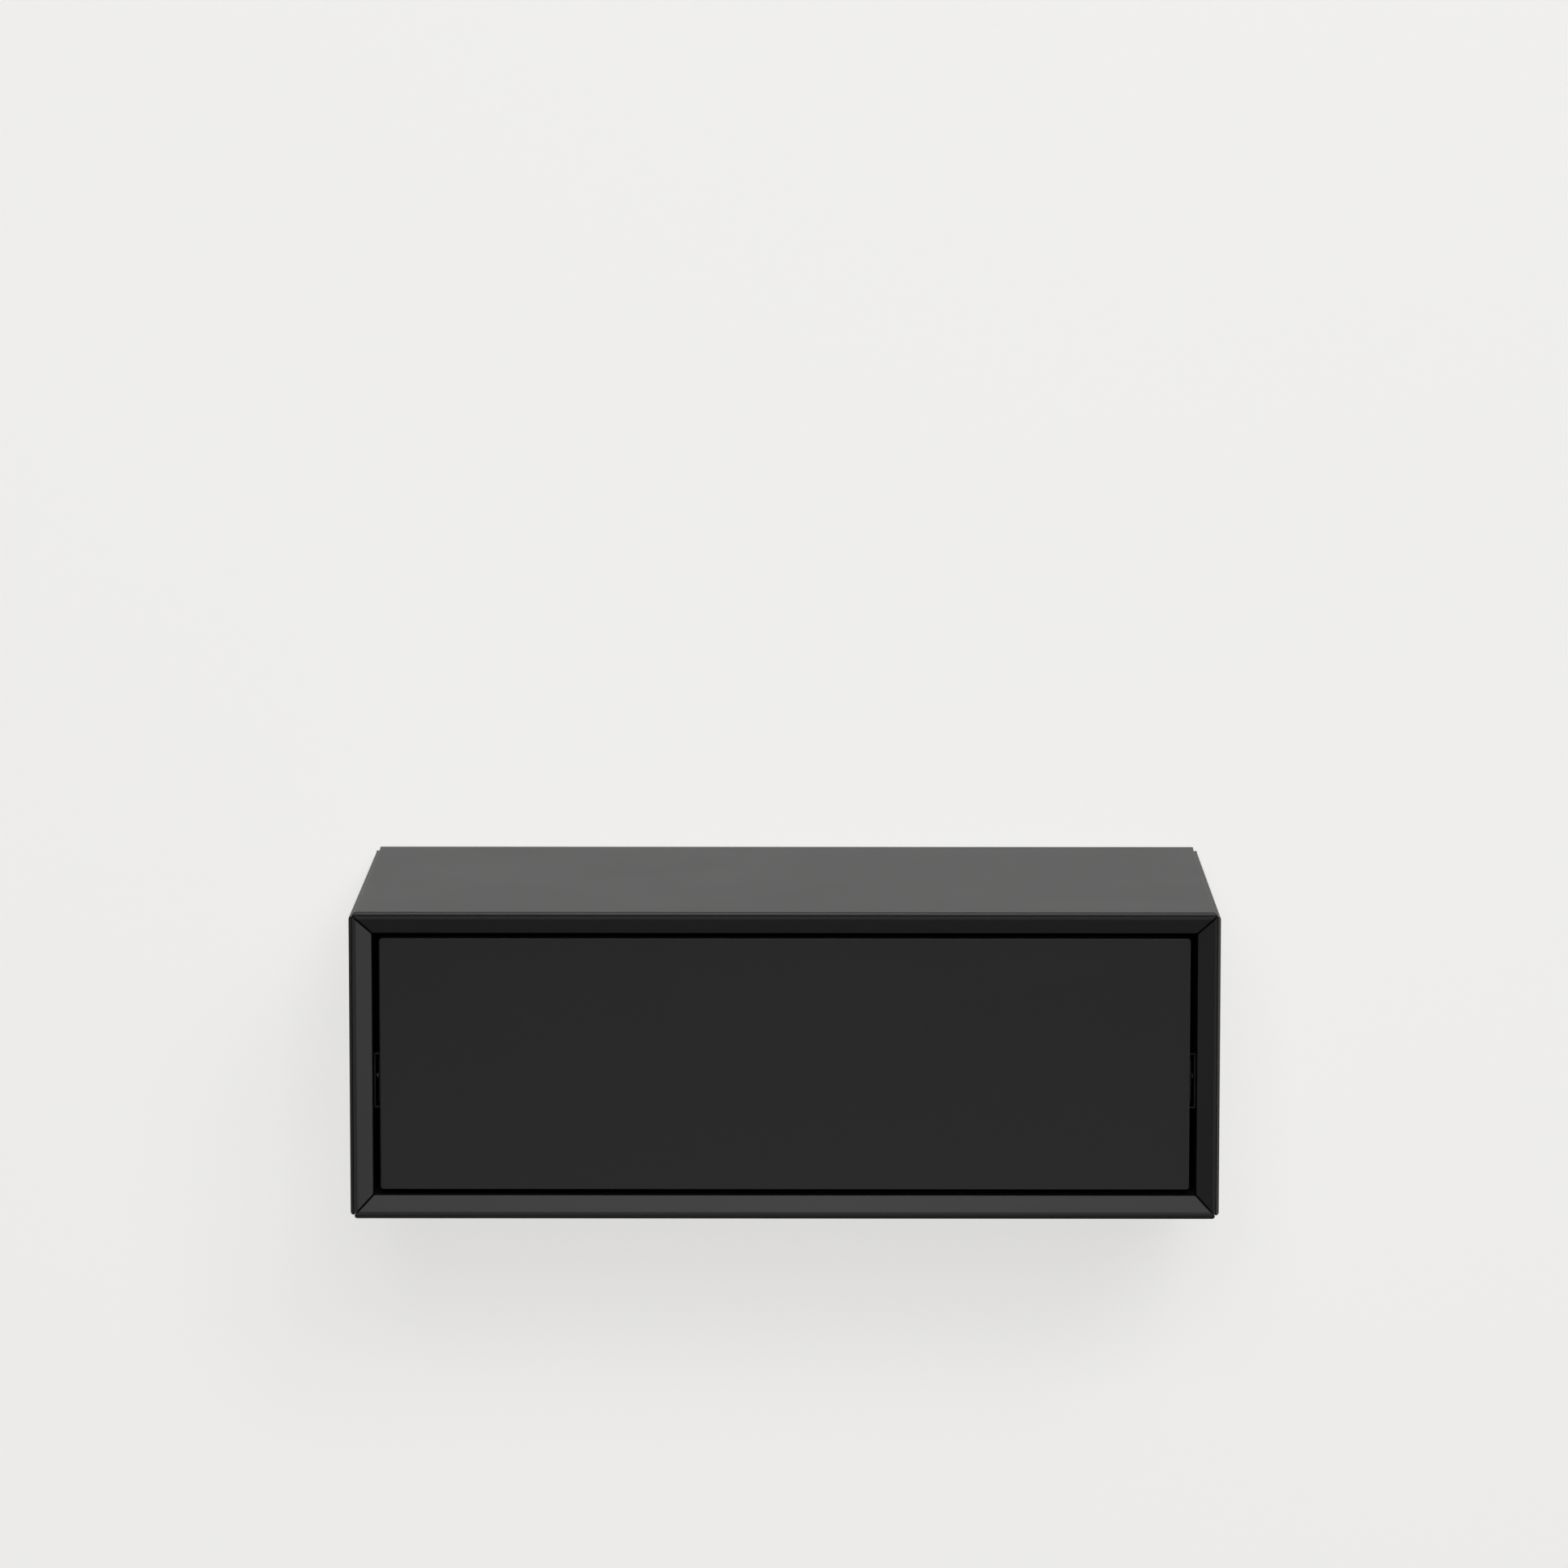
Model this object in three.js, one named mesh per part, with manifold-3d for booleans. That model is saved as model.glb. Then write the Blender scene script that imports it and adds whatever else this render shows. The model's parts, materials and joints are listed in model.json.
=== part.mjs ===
// A wall-hung drawer unit: four mitred boards with bevelled front edges round one push-to-open drawer.
// The drawer runs on two full-extension ball runners. Two sprung push latches under it let it out, and
// two hooks in the recess behind the back panel hang the unit on a rail screwed to the wall.
//
// Millimetres, +Z up, X to the right, and the front faces -Y. Everything is drawn with z = 0 at the
// underside and y = 0 at the wall, and the finished unit is then moved down, so that the origin is the
// middle of the wall rail's back face.

import * as THREE from "three";
import { mergeVertices } from "three/addons/utils/BufferGeometryUtils.js";
import Module from "manifold-3d";

const wasm = await Module();
wasm.setup();

// ---------------------------------------------------------------- sizes

// The outside of the unit.
const width = 700;
const height = 250;
const depth = 380;

// The boards, and the edge that faces the room: a narrow flat, then a bevel that falls inwards.
const board = 18;
const edgeRadius = 2; // outer arris of the front edge
const edgeFlat = 5; // from the outer face to where the bevel starts
const bevelDepth = 8; // how far the bevel falls back
const cornerStep = 3.3; // each board stops this far short of the corner, which leaves a small rebate
const mitreGap = 0.8;

// The back panel, let into a groove with room behind it for the wall rail.
const backPanel = 8;
const backRecess = 20;
const grooveDepth = 6;

// A loose tongue glued into each mitre.
const tongueThick = 4;
const tongueWide = 12;
const tongueSkin = 1.8; // wood left between the tongue and a board's inner face
const tongueStop = 40; // short of the front and back

// The drawer front and the gap that shows round it.
const frontThick = 18;
const frontRecess = 9.5; // behind the carcass's front plane
const gapSide = 5.5;
const gapTop = 4.3;
const frontRound = 1.5; // rounded arris of the front
const frontCorner = 2.5;

// The drawer box.
const boxBoard = 12;
const boxBottom = 8;
const boxGroove = 5;
const boxGrooveUp = 10; // from the box's lower edge to its bottom
const boxBelow = 22; // room under the box, for the latches
const boxAbove = 56; // room over it
const boxBehind = 22; // the least room between the box and the back panel

// The runners: rolled steel sections, one inside the other, with balls between them.
const runnerStep = 50; // runners come in lengths this far apart
const runnerSpace = 13; // between the side board and the drawer box
const runnerHeight = 45;
const runnerSteel = 1.2;
const ballOuter = 1.8; // radius of the balls round the middle member
const ballInner = 1.5; // radius of the balls inside it
const ballSlack = 0.15;
const ballsInRow = 6;
const ballPitch = 20;
const cageEnd = 5; // from the last ball to the cage's end
const cageSteel = 0.5;
const cageSlack = 0.4; // round a cage's web
const runnerLip = 1.7; // how far the flanges' lips turn in
const cabinetShy = 0.25; // from the cabinet member's lips to the drawer member's web
const middleOver = 0.15; // how far the middle member's lips pass that web's near face
const runnerShort = 4; // a runner stops this far short of the drawer box's ends
const cabinetScrewInset = 25; // from a runner's ends
const drawerScrewInset = 40;

// The push latches.
const latchFromMiddle = 150;
const latchWide = 26;
const latchHigh = 15;
const latchLong = 72;
const latchEar = 10;
const latchEarThick = 3;
const latchEarLong = 16;
const plungerRadius = 3;
const plungerCollar = 4;
const collarLong = 4;
const plungerOut = 6; // how far the tip stands out of the housing when the drawer is shut
const plungerInside = 28;
const neckLong = 3;
const capLong = 4;
const noseLong = 1.5; // the wide end of the plunger
const springWire = 0.4;
const springTurns = 6;
const springSteps = 8; // steps in a turn
const wireSides = 4;
const strikerSteel = 1.5;
const strikerWide = 20;
const strikerFoot = 30;
const strikerOverFloor = 4;
const latchAhead = 4; // the latch's back end stops this far short of the drawer box's

// The wall rail and the hooks.
const railSteel = 2;
const railFlat = 30; // the part that lies on the wall
const railLip = 14; // the lip that the hooks go over
const railStandoff = 6; // between the wall and the lip
const railEnd = 14; // between the rail's end and the side board
const railDown = 8; // from the top board to the lip
const railSlotLong = 12;
const railSlotWide = 6;
const railSlots = [-0.35, -0.12, 0.12, 0.35]; // places along the rail, as shares of its length
const hookWide = 46;
const hookReach = 10; // how far the hook goes down behind the lip
const hookGap = 1.5; // between the hook's plate and the lip
const hookPlateTall = 34;
const hookWingTall = 72; // the part that is screwed to the side board
const hookScrewInset = 9; // from the plate and from the wing's end

// Screws: head radius, head height, shank radius and length under the head.
const screwSkin = 1.5; // wood left under the tip of a screw in a drawer side
const headTaper = 0.8; // width of a head's top as a share of the width under it
const drawerScrewLong = runnerSteel + boxBoard - screwSkin;
const runnerScrew = { head: 3.4, rise: 1.1, shank: 1.8, long: 13 };
const drawerScrew = { head: 3.4, rise: 1.5, shank: 1.6, long: drawerScrewLong };
const frontScrew = { head: 4, rise: 1.8, shank: 2, long: 24 };
const frontScrewIn = 80; // from the drawer box's sides
const frontScrewUp = 36; // from its upper and lower edges
const latchScrew = { head: 3, rise: 1.6, shank: 1.5, long: 12 };
const hookScrew = { head: 3.4, rise: 1.5, shank: 1.8, long: 13 };
const strikerScrew = { head: 3, rise: 1.2, shank: 1.4, long: 8 };

const clearance = 0.3; // between pieces that touch
const contact = 0.15; // between a fitting and the board it is screwed to
const seatGap = 0.1; // under a screw's head
const holeOver = 2; // how far a cut starts outside the piece
const roundSteps = 10; // sides of a small round piece
const ballSteps = 6; // sides of a ball
const arcSteps = 4; // steps in a rounded edge

// ---------------------------------------------------------------- places worked out from the sizes

const innerSide = width / 2 - board; // x of a side board's inner face
const floor = board; // z of the bottom board's upper face
const ceiling = height - board;
const frontPlane = -depth;
const backFace = -(backRecess + backPanel); // y of the back panel's inner face

const frontFace = frontPlane + frontRecess;
const frontBack = frontFace + frontThick;

const runnerRoom = backFace - boxBehind - frontBack;
const runnerLong = Math.floor(runnerRoom / runnerStep) * runnerStep;
const boxFront = frontBack + clearance;
const boxBack = boxFront + runnerLong;
const boxSide = innerSide - runnerSpace; // x of the box's outer face
const boxLow = floor + boxBelow;
const boxHigh = ceiling - boxAbove;
const bottomLow = boxLow + boxGrooveUp;
const bottomHigh = bottomLow + boxBottom;

const runnerMiddle = (boxLow + boxHigh) / 2; // z of the runners' centre line
const runnerFront = boxFront + runnerShort;
const runnerBack = boxBack - runnerShort;

const latchBack = boxBack - latchAhead;
const latchFront = latchBack - latchLong;
const plungerTip = latchFront - plungerOut;
const latchBase = floor + contact;
const plungerHeight = latchBase + latchHigh / 2;

const railTop = ceiling - railDown;
const railStep = railTop - railLip; // z of the underside of the step between flat and lip
const railLow = railStep - railFlat;
const railHalf = innerSide - railEnd;
const origin = new THREE.Vector3(0, 0, (railLow + railStep) / 2);

// ---------------------------------------------------------------- materials

const finish = (color, roughness, metalness = 0) =>
  new THREE.MeshStandardMaterial({ color, roughness, metalness });
const lacquer = finish(0x2a2a2a, 0.55);
const foil = finish(0x34343a, 0.6);
const beech = finish(0xc9a778, 0.7);
const zinc = finish(0xb4b8ba, 0.35, 1);
const steelBall = finish(0xd0d2d4, 0.2, 1);
const latchPlastic = finish(0x5a5c5e, 0.55);
const plungerPlastic = finish(0xd9d8d2, 0.5);

// ---------------------------------------------------------------- shapes

// Which way an outline's two directions and its run point, for a bar along each axis.
const along = {
  x: [new THREE.Vector3(0, 1, 0), new THREE.Vector3(0, 0, 1), new THREE.Vector3(1, 0, 0)],
  y: [new THREE.Vector3(0, 0, 1), new THREE.Vector3(1, 0, 0), new THREE.Vector3(0, 1, 0)],
  z: [new THREE.Vector3(1, 0, 0), new THREE.Vector3(0, 1, 0), new THREE.Vector3(0, 0, 1)],
};

function outline(points) {
  return new THREE.Shape(points.map(([a, b]) => new THREE.Vector2(a, b)));
}

// An outline run along an axis. It is drawn as (y, z) for x, (z, x) for y and (x, y) for z.
function bar(axis, shape, from, to) {
  const options = { depth: to - from, bevelEnabled: false, curveSegments: arcSteps };
  return new THREE.ExtrudeGeometry(shape, options)
    .translate(0, 0, from)
    .applyMatrix4(new THREE.Matrix4().makeBasis(...along[axis]));
}

function block([x0, x1], [y0, y1], [z0, z1]) {
  return new THREE.BoxGeometry(x1 - x0, y1 - y0, z1 - z0).translate(
    (x0 + x1) / 2,
    (y0 + y1) / 2,
    (z0 + z1) / 2,
  );
}

// Turns a piece made along +Y so that +Y points along the given direction, and moves it to a point.
function aim(geometry, direction, point) {
  const turn = new THREE.Quaternion().setFromUnitVectors(new THREE.Vector3(0, 1, 0), direction);
  return geometry.applyQuaternion(turn).translate(point.x, point.y, point.z);
}

// A cylinder from one point to another.
function rod(radius, from, to) {
  const run = to.clone().sub(from);
  const cylinder = new THREE.CylinderGeometry(radius, radius, run.length(), roundSteps);
  return aim(cylinder.translate(0, run.length() / 2, 0), run.normalize(), from);
}

// ---------------------------------------------------------------- cutting and joining

function solid(geometry) {
  const bare = geometry.clone();
  bare.deleteAttribute("normal");
  bare.deleteAttribute("uv");
  const merged = mergeVertices(bare, 1e-4);
  return new wasm.Manifold(
    new wasm.Mesh({
      numProp: 3,
      vertProperties: merged.attributes.position.array,
      triVerts: new Uint32Array(merged.index.array),
    }),
  );
}

function surface(made) {
  const { vertProperties, triVerts } = made.getMesh();
  const geometry = new THREE.BufferGeometry();
  geometry.setAttribute("position", new THREE.BufferAttribute(vertProperties, 3));
  geometry.setIndex(new THREE.BufferAttribute(triVerts, 1));
  geometry.computeVertexNormals();
  return geometry;
}

function cut(geometry, ...tools) {
  return surface(tools.reduce((left, tool) => left.subtract(solid(tool)), solid(geometry)));
}

function join(geometry, ...others) {
  return surface(others.reduce((whole, other) => whole.add(solid(other)), solid(geometry)));
}

function common(one, other) {
  return surface(solid(one).intersect(solid(other)));
}

// ---------------------------------------------------------------- assembly

const unit = new THREE.Group();
unit.position.copy(origin).negate();

function add(name, geometry, material) {
  const mesh = new THREE.Mesh(geometry, material);
  mesh.name = name;
  unit.add(mesh);
}

// The two hands of a piece that is made twice: its name's first word and the sign of its x.
const hands = [
  ["left", -1],
  ["right", 1],
];

const point = (x, y, z) => new THREE.Vector3(x, y, z);

// A pan-head screw. Its seat is the point under the head, and it runs into the wood along the direction.
function screw(name, { head, rise, shank, long }, seat, direction) {
  const profile = [
    [0, -long],
    [shank, -long + 2 * shank],
    [shank, 0],
    [head, 0],
    [head * headTaper, rise],
    [0, rise],
  ].map(([radius, up]) => new THREE.Vector2(radius, up));
  const turned = new THREE.LatheGeometry(profile, roundSteps);
  add(name, aim(turned, direction.clone().negate(), seat), zinc);
}

// The hole that a screw's shank needs, from a little way over its seat to its tip.
function screwHole({ shank, long }, seat, direction) {
  const over = seat.clone().addScaledVector(direction, -holeOver);
  const end = seat.clone().addScaledVector(direction, long + clearance);
  return rod(shank + clearance, over, end);
}

// ---------------------------------------------------------------- carcass boards

// One carcass board, drawn across as (in, y): how far in from the outer face, and y.
function boardSection() {
  const grooveFront = backFace - clearance / 2;
  const grooveBack = -backRecess + clearance / 2;
  const shape = new THREE.Shape();
  shape.moveTo(0, 0);
  shape.lineTo(0, frontPlane + edgeRadius);
  shape.absarc(edgeRadius, frontPlane + edgeRadius, edgeRadius, Math.PI, 1.5 * Math.PI, false);
  shape.lineTo(edgeFlat, frontPlane);
  shape.lineTo(board, frontPlane + bevelDepth);
  shape.lineTo(board, grooveFront);
  shape.lineTo(board - grooveDepth, grooveFront);
  shape.lineTo(board - grooveDepth, grooveBack);
  shape.lineTo(board, grooveBack);
  shape.lineTo(board, 0);
  return shape;
}

// The same board from the front, as (along, in): a long side, two mitres and rounded tips.
function boardOutline(long) {
  const off = mitreGap / Math.SQRT2;
  const tipRadius = cornerStep - off;
  const centre = cornerStep + tipRadius;
  const shape = new THREE.Shape();
  shape.moveTo(board + off, board);
  shape.absarc(centre, tipRadius, tipRadius, Math.PI, 1.5 * Math.PI, false);
  shape.absarc(long - centre, tipRadius, tipRadius, 1.5 * Math.PI, 2 * Math.PI, false);
  shape.lineTo(long - board - off, board);
  return shape;
}

// A mitred board, lying along +X with its outer face at z = 0 and its inner face at z = board.
function mitredBoard(long) {
  const section = bar("z", boardSection(), 0, long);
  section.applyMatrix4(
    new THREE.Matrix4().makeBasis(point(0, 0, 1), point(0, 1, 0), point(-1, 0, 0)),
  );
  section.translate(long, 0, 0);
  const face = bar("z", boardOutline(long), 0, depth + 2 * holeOver);
  face.applyMatrix4(
    new THREE.Matrix4().makeBasis(point(1, 0, 0), point(0, 0, 1), point(0, -1, 0)),
  );
  face.translate(0, holeOver, 0);
  return common(section, face);
}

// The four corners, as the signs of x and z.
const corners = [
  ["top_left", -1, 1],
  ["top_right", 1, 1],
  ["bottom_left", -1, -1],
  ["bottom_right", 1, -1],
];

const tongueInset = board - tongueSkin - (tongueWide + tongueThick) / Math.sqrt(8);

// The tongue of one corner, or with slack the groove that takes it.
function tongue(signX, signZ, slack = 0) {
  const geometry = block(
    [-tongueWide / 2 - slack, tongueWide / 2 + slack],
    [frontPlane + tongueStop - slack, backFace - tongueStop + slack],
    [-tongueThick / 2 - slack, tongueThick / 2 + slack],
  );
  const lean = (signX * signZ * Math.PI) / 4;
  geometry.rotateY(-lean);
  return geometry.translate(
    signX * (width / 2 - tongueInset),
    0,
    height / 2 + signZ * (height / 2 - tongueInset),
  );
}

const tongueSlots = corners.map(([, signX, signZ]) => tongue(signX, signZ, clearance));

// The seats of the two screws that hold one member of a runner, the same distance in from its ends.
function runnerScrewSeats(sign, from, inset) {
  return [runnerFront + inset, runnerBack - inset].map((y) => point(sign * from, y, runnerMiddle));
}

const cabinetScrewSeat = innerSide - contact - runnerSteel - seatGap;

const hookTop = railTop + clearance + railSteel;
const hookPlateLow = hookTop - hookPlateTall;
const hookWingLow = hookTop - hookWingTall;

// The seats of the two screws of one hook, in its wing below the plate.
function hookScrewSeats(sign) {
  const x = sign * (innerSide - contact - railSteel - seatGap);
  return [hookPlateLow - hookScrewInset, hookWingLow + hookScrewInset].map((z) =>
    point(x, -backRecess / 2, z),
  );
}

function latchScrewSeats(sign) {
  const y = (latchFront + latchBack) / 2;
  const z = latchBase + latchEarThick + seatGap;
  const away = latchWide / 2 + latchEar / 2;
  return [-away, away].map((x) => point(sign * latchFromMiddle + x, y, z));
}

const up = point(0, 0, 1);
const down = point(0, 0, -1);
const ahead = point(0, -1, 0);

function carcassBoards() {
  const lengthwise = mitredBoard(width);
  const upright = mitredBoard(height);
  const latchHoles = hands.flatMap(([, sign]) =>
    latchScrewSeats(sign).map((seat) => screwHole(latchScrew, seat, down)),
  );

  const bottom = lengthwise.clone().translate(-width / 2, 0, 0);
  add("bottom_panel", cut(bottom, ...tongueSlots, ...latchHoles), lacquer);

  const top = lengthwise.clone().rotateY(Math.PI).translate(width / 2, 0, height);
  add("top_panel", cut(top, ...tongueSlots), lacquer);

  for (const [hand, sign] of hands) {
    const side = upright.clone();
    side.rotateY((sign * -Math.PI) / 2);
    side.translate((sign * width) / 2, 0, sign < 0 ? height : 0);
    const outward = point(sign, 0, 0);
    const holes = [
      ...runnerScrewSeats(sign, cabinetScrewSeat, cabinetScrewInset).map((seat) =>
        screwHole(runnerScrew, seat, outward),
      ),
      ...hookScrewSeats(sign).map((seat) => screwHole(hookScrew, seat, outward)),
    ];
    add(`${hand}_side_panel`, cut(side, ...tongueSlots, ...holes), lacquer);
  }

  for (const [corner, signX, signZ] of corners) {
    add(`mitre_tongue_${corner}`, tongue(signX, signZ), beech);
  }

  const reach = grooveDepth - clearance;
  const back = block(
    [-innerSide - reach, innerSide + reach],
    [backFace, -backRecess],
    [floor - reach, ceiling + reach],
  );
  add("back_panel", back, lacquer);
}

// ---------------------------------------------------------------- drawer

const frontHalf = innerSide - gapSide;
const frontLow = floor + gapTop;
const frontHigh = ceiling - gapTop;

const frontScrewSeats = hands.flatMap(([, sign]) =>
  [boxLow + frontScrewUp, boxHigh - frontScrewUp].map((z) =>
    point(sign * (boxSide - frontScrewIn), boxFront + boxBoard + seatGap, z),
  ),
);

function roundedRectangle(x0, x1, z0, z1, radius) {
  const shape = new THREE.Shape();
  shape.absarc(x1 - radius, z0 + radius, radius, -Math.PI / 2, 0, false);
  shape.absarc(x1 - radius, z1 - radius, radius, 0, Math.PI / 2, false);
  shape.absarc(x0 + radius, z1 - radius, radius, Math.PI / 2, Math.PI, false);
  shape.absarc(x0 + radius, z0 + radius, radius, Math.PI, 1.5 * Math.PI, false);
  return shape;
}

function drawerFront() {
  const inner = frontRound;
  const shape = roundedRectangle(
    -frontHalf + inner,
    frontHalf - inner,
    frontLow + inner,
    frontHigh - inner,
    frontCorner - inner,
  );
  const plate = new THREE.ExtrudeGeometry(shape, {
    depth: frontThick - 2 * frontRound,
    bevelEnabled: true,
    bevelThickness: frontRound,
    bevelSize: frontRound,
    bevelSegments: arcSteps,
    curveSegments: arcSteps,
  });
  plate.rotateX(Math.PI / 2).translate(0, frontBack - frontRound, 0);
  const holes = frontScrewSeats.map((seat) => screwHole(frontScrew, seat, ahead));
  add("drawer_front", cut(plate, ...holes), lacquer);
}

const drawerScrewSeat = boxSide + contact + runnerSteel + seatGap;

function drawerBox() {
  const grooveLow = bottomLow - clearance / 2;
  const grooveHigh = bottomHigh + clearance / 2;
  const grooveIn = boxBoard - boxGroove;

  // A box wall across, as (in, z): how far from its outer face, and z. The groove takes the bottom.
  const wall = [
    [0, boxLow],
    [boxBoard, boxLow],
    [boxBoard, grooveLow],
    [grooveIn, grooveLow],
    [grooveIn, grooveHigh],
    [boxBoard, grooveHigh],
    [boxBoard, boxHigh],
    [0, boxHigh],
  ];

  for (const [hand, sign] of hands) {
    const shape = outline(wall.map(([inward, z]) => [z, sign * (boxSide - inward)]));
    const side = bar("y", shape, boxFront, boxBack);
    const inward = point(-sign, 0, 0);
    const seats = runnerScrewSeats(sign, drawerScrewSeat, drawerScrewInset);
    const holes = seats.map((seat) => screwHole(drawerScrew, seat, inward));
    add(`drawer_${hand}_side`, cut(side, ...holes), foil);
  }

  const between = boxSide - boxBoard - clearance;
  const frontWall = outline(wall.map(([inward, z]) => [boxFront + inward, z]));
  const innerFront = bar("x", frontWall, -between, between);
  const frontHoles = frontScrewSeats.map((seat) => screwHole(frontScrew, seat, ahead));
  add("drawer_inner_front", cut(innerFront, ...frontHoles), foil);

  const backWall = outline(wall.map(([inward, z]) => [boxBack - inward, z]));
  add("drawer_back", bar("x", backWall, -between, between), foil);

  const edge = boxBoard - boxGroove + clearance;
  const bottom = block(
    [-boxSide + edge, boxSide - edge],
    [boxFront + edge, boxBack - edge],
    [bottomLow, bottomHigh],
  );
  const bottomHoles = hands.map(([, sign]) => screwHole(strikerScrew, strikerScrewSeat(sign), up));
  add("drawer_bottom", cut(bottom, ...bottomHoles), foil);
}

// ---------------------------------------------------------------- runners

// The runner's section: u runs from the side board to the drawer, and v up from the runner's middle.
const uCabinetWeb = contact;
const uDrawerWeb = runnerSpace - contact - runnerSteel;
const uCabinetEnd = uDrawerWeb - cabinetShy;
const uOuterCage = uCabinetWeb + runnerSteel + seatGap + runnerScrew.rise + cageSlack;
const uMiddleWeb = uOuterCage + cageSteel + cageSlack;
const uMiddleEnd = uDrawerWeb + middleOver;
const uInnerCage = uMiddleWeb + runnerSteel + cageSlack;
const uDrawerEnd = uInnerCage + cageSteel + cageSlack;
const vCabinet = runnerHeight / 2;
const vOuterBall = vCabinet - runnerSteel - ballSlack - ballOuter;
const vMiddle = vOuterBall - ballOuter - ballSlack;
const vInnerBall = vMiddle - runnerSteel - ballSlack - ballInner;
const vDrawer = vInnerBall - ballInner - ballSlack;
const cageMiddle = (runnerFront + runnerBack) / 2;
const cageHalf = ((ballsInRow - 1) * ballPitch) / 2 + cageEnd;

// Half an outline in (u, v), mirrored in the runner's middle.
function mirrored(half) {
  return [...half, ...half.map(([u, v]) => [u, -v]).reverse()];
}

// A channel with its web at one u and its flanges out to another, with or without lips that turn in.
function channel(web, end, high, lip) {
  const steel = runnerSteel * Math.sign(end - web);
  const inside = high - runnerSteel;
  const lips = [
    [end, inside - lip],
    [end - steel, inside - lip],
    [end - steel, inside],
  ];
  const edge = lip > 0 ? lips : [[end, inside]];
  return mirrored([[web, high], [end, high], ...edge, [web + steel, inside]]);
}

// A section in (u, v) run along one of the two runners.
function runnerBar(section, sign, from, to) {
  const points = section.map(([u, v]) => [runnerMiddle + v, sign * (innerSide - u)]);
  return bar("y", outline(points), from, to);
}

// A ball cage: a thin channel whose flanges hold two rows of balls, which roll between two webs.
function cage(sign, web, [uFrom, uTo], vBall, ball) {
  const uBall = (uFrom + uTo) / 2;
  const section = mirrored([
    [web, vBall + cageSteel / 2],
    [uBall + ball / 2, vBall + cageSteel / 2],
    [uBall + ball / 2, vBall - cageSteel / 2],
    [web + cageSteel, vBall - cageSteel / 2],
  ]);
  const strip = runnerBar(section, sign, cageMiddle - cageHalf, cageMiddle + cageHalf);
  const balls = [];
  for (const row of [-1, 1]) {
    for (let i = 0; i < ballsInRow; i += 1) {
      const y = cageMiddle + (i - (ballsInRow - 1) / 2) * ballPitch;
      const sphere = new THREE.SphereGeometry(ball, ballSteps, ballSteps - 2);
      balls.push(sphere.translate(sign * (innerSide - uBall), y, runnerMiddle + row * vBall));
    }
  }
  return join(strip, ...balls);
}

function runners() {
  const cabinetSection = channel(uCabinetWeb, uCabinetEnd, vCabinet, runnerLip);
  const middleSection = channel(uMiddleWeb, uMiddleEnd, vMiddle, runnerLip);
  const drawerSection = channel(uDrawerWeb + runnerSteel, uDrawerEnd, vDrawer, 0);
  const outerTrack = [uCabinetWeb + runnerSteel, uCabinetEnd - runnerSteel];
  const innerTrack = [uMiddleWeb + runnerSteel, uMiddleEnd - runnerSteel];
  const member = (section, sign) => runnerBar(section, sign, runnerFront, runnerBack);

  for (const [hand, sign] of hands) {
    const outward = point(sign, 0, 0);
    const inward = point(-sign, 0, 0);

    const cabinetSeats = runnerScrewSeats(sign, cabinetScrewSeat, cabinetScrewInset);
    const cabinetHoles = cabinetSeats.map((seat) => screwHole(runnerScrew, seat, outward));
    add(`${hand}_runner_cabinet_member`, cut(member(cabinetSection, sign), ...cabinetHoles), zinc);
    cabinetSeats.forEach((seat, i) =>
      screw(`${hand}_runner_cabinet_screw_${i + 1}`, runnerScrew, seat, outward),
    );

    add(`${hand}_runner_middle_member`, member(middleSection, sign), zinc);

    const drawerSeats = runnerScrewSeats(sign, drawerScrewSeat, drawerScrewInset);
    const drawerHoles = drawerSeats.map((seat) => screwHole(drawerScrew, seat, inward));
    add(`${hand}_runner_drawer_member`, cut(member(drawerSection, sign), ...drawerHoles), zinc);
    drawerSeats.forEach((seat, i) =>
      screw(`${hand}_runner_drawer_screw_${i + 1}`, drawerScrew, seat, inward),
    );

    const outer = cage(sign, uOuterCage, outerTrack, vOuterBall, ballOuter);
    add(`${hand}_outer_ball_cage`, outer, steelBall);
    const inner = cage(sign, uInnerCage, innerTrack, vInnerBall, ballInner);
    add(`${hand}_inner_ball_cage`, inner, steelBall);
  }
}

// ---------------------------------------------------------------- push latches

class Helix extends THREE.Curve {
  constructor(radius, from, to, turns) {
    super();
    Object.assign(this, { radius, from, to, turns });
  }
  getPoint(t, target = new THREE.Vector3()) {
    const turn = 2 * Math.PI * this.turns * t;
    const y = this.from + (this.to - this.from) * t;
    return target.set(this.radius * Math.cos(turn), y, this.radius * Math.sin(turn));
  }
}

function latchHousing(x) {
  const body = block(
    [x - latchWide / 2, x + latchWide / 2],
    [latchFront, latchBack],
    [latchBase, latchBase + latchHigh],
  );
  const middle = (latchFront + latchBack) / 2;
  const ears = block(
    [x - latchWide / 2 - latchEar, x + latchWide / 2 + latchEar],
    [middle - latchEarLong / 2, middle + latchEarLong / 2],
    [latchBase, latchBase + latchEarThick],
  );
  const bore = rod(
    plungerCollar + clearance,
    point(x, latchFront + neckLong, plungerHeight),
    point(x, latchBack + holeOver, plungerHeight),
  );
  const neck = rod(
    plungerRadius + clearance,
    point(x, latchFront - holeOver, plungerHeight),
    point(x, latchBack, plungerHeight),
  );
  const screwHoles = latchScrewSeats(Math.sign(x)).map((seat) => screwHole(latchScrew, seat, down));
  return cut(join(body, ears), bore, neck, ...screwHoles);
}

const strikerTop = bottomLow - clearance; // z of the foot's upper face
const strikerBack = plungerTip - clearance;

// The seat of a striker's screw, in the middle of its foot.
function strikerScrewSeat(sign) {
  const z = strikerTop - strikerSteel - seatGap;
  return point(sign * latchFromMiddle, strikerBack - (strikerSteel + strikerFoot) / 2, z);
}

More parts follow.
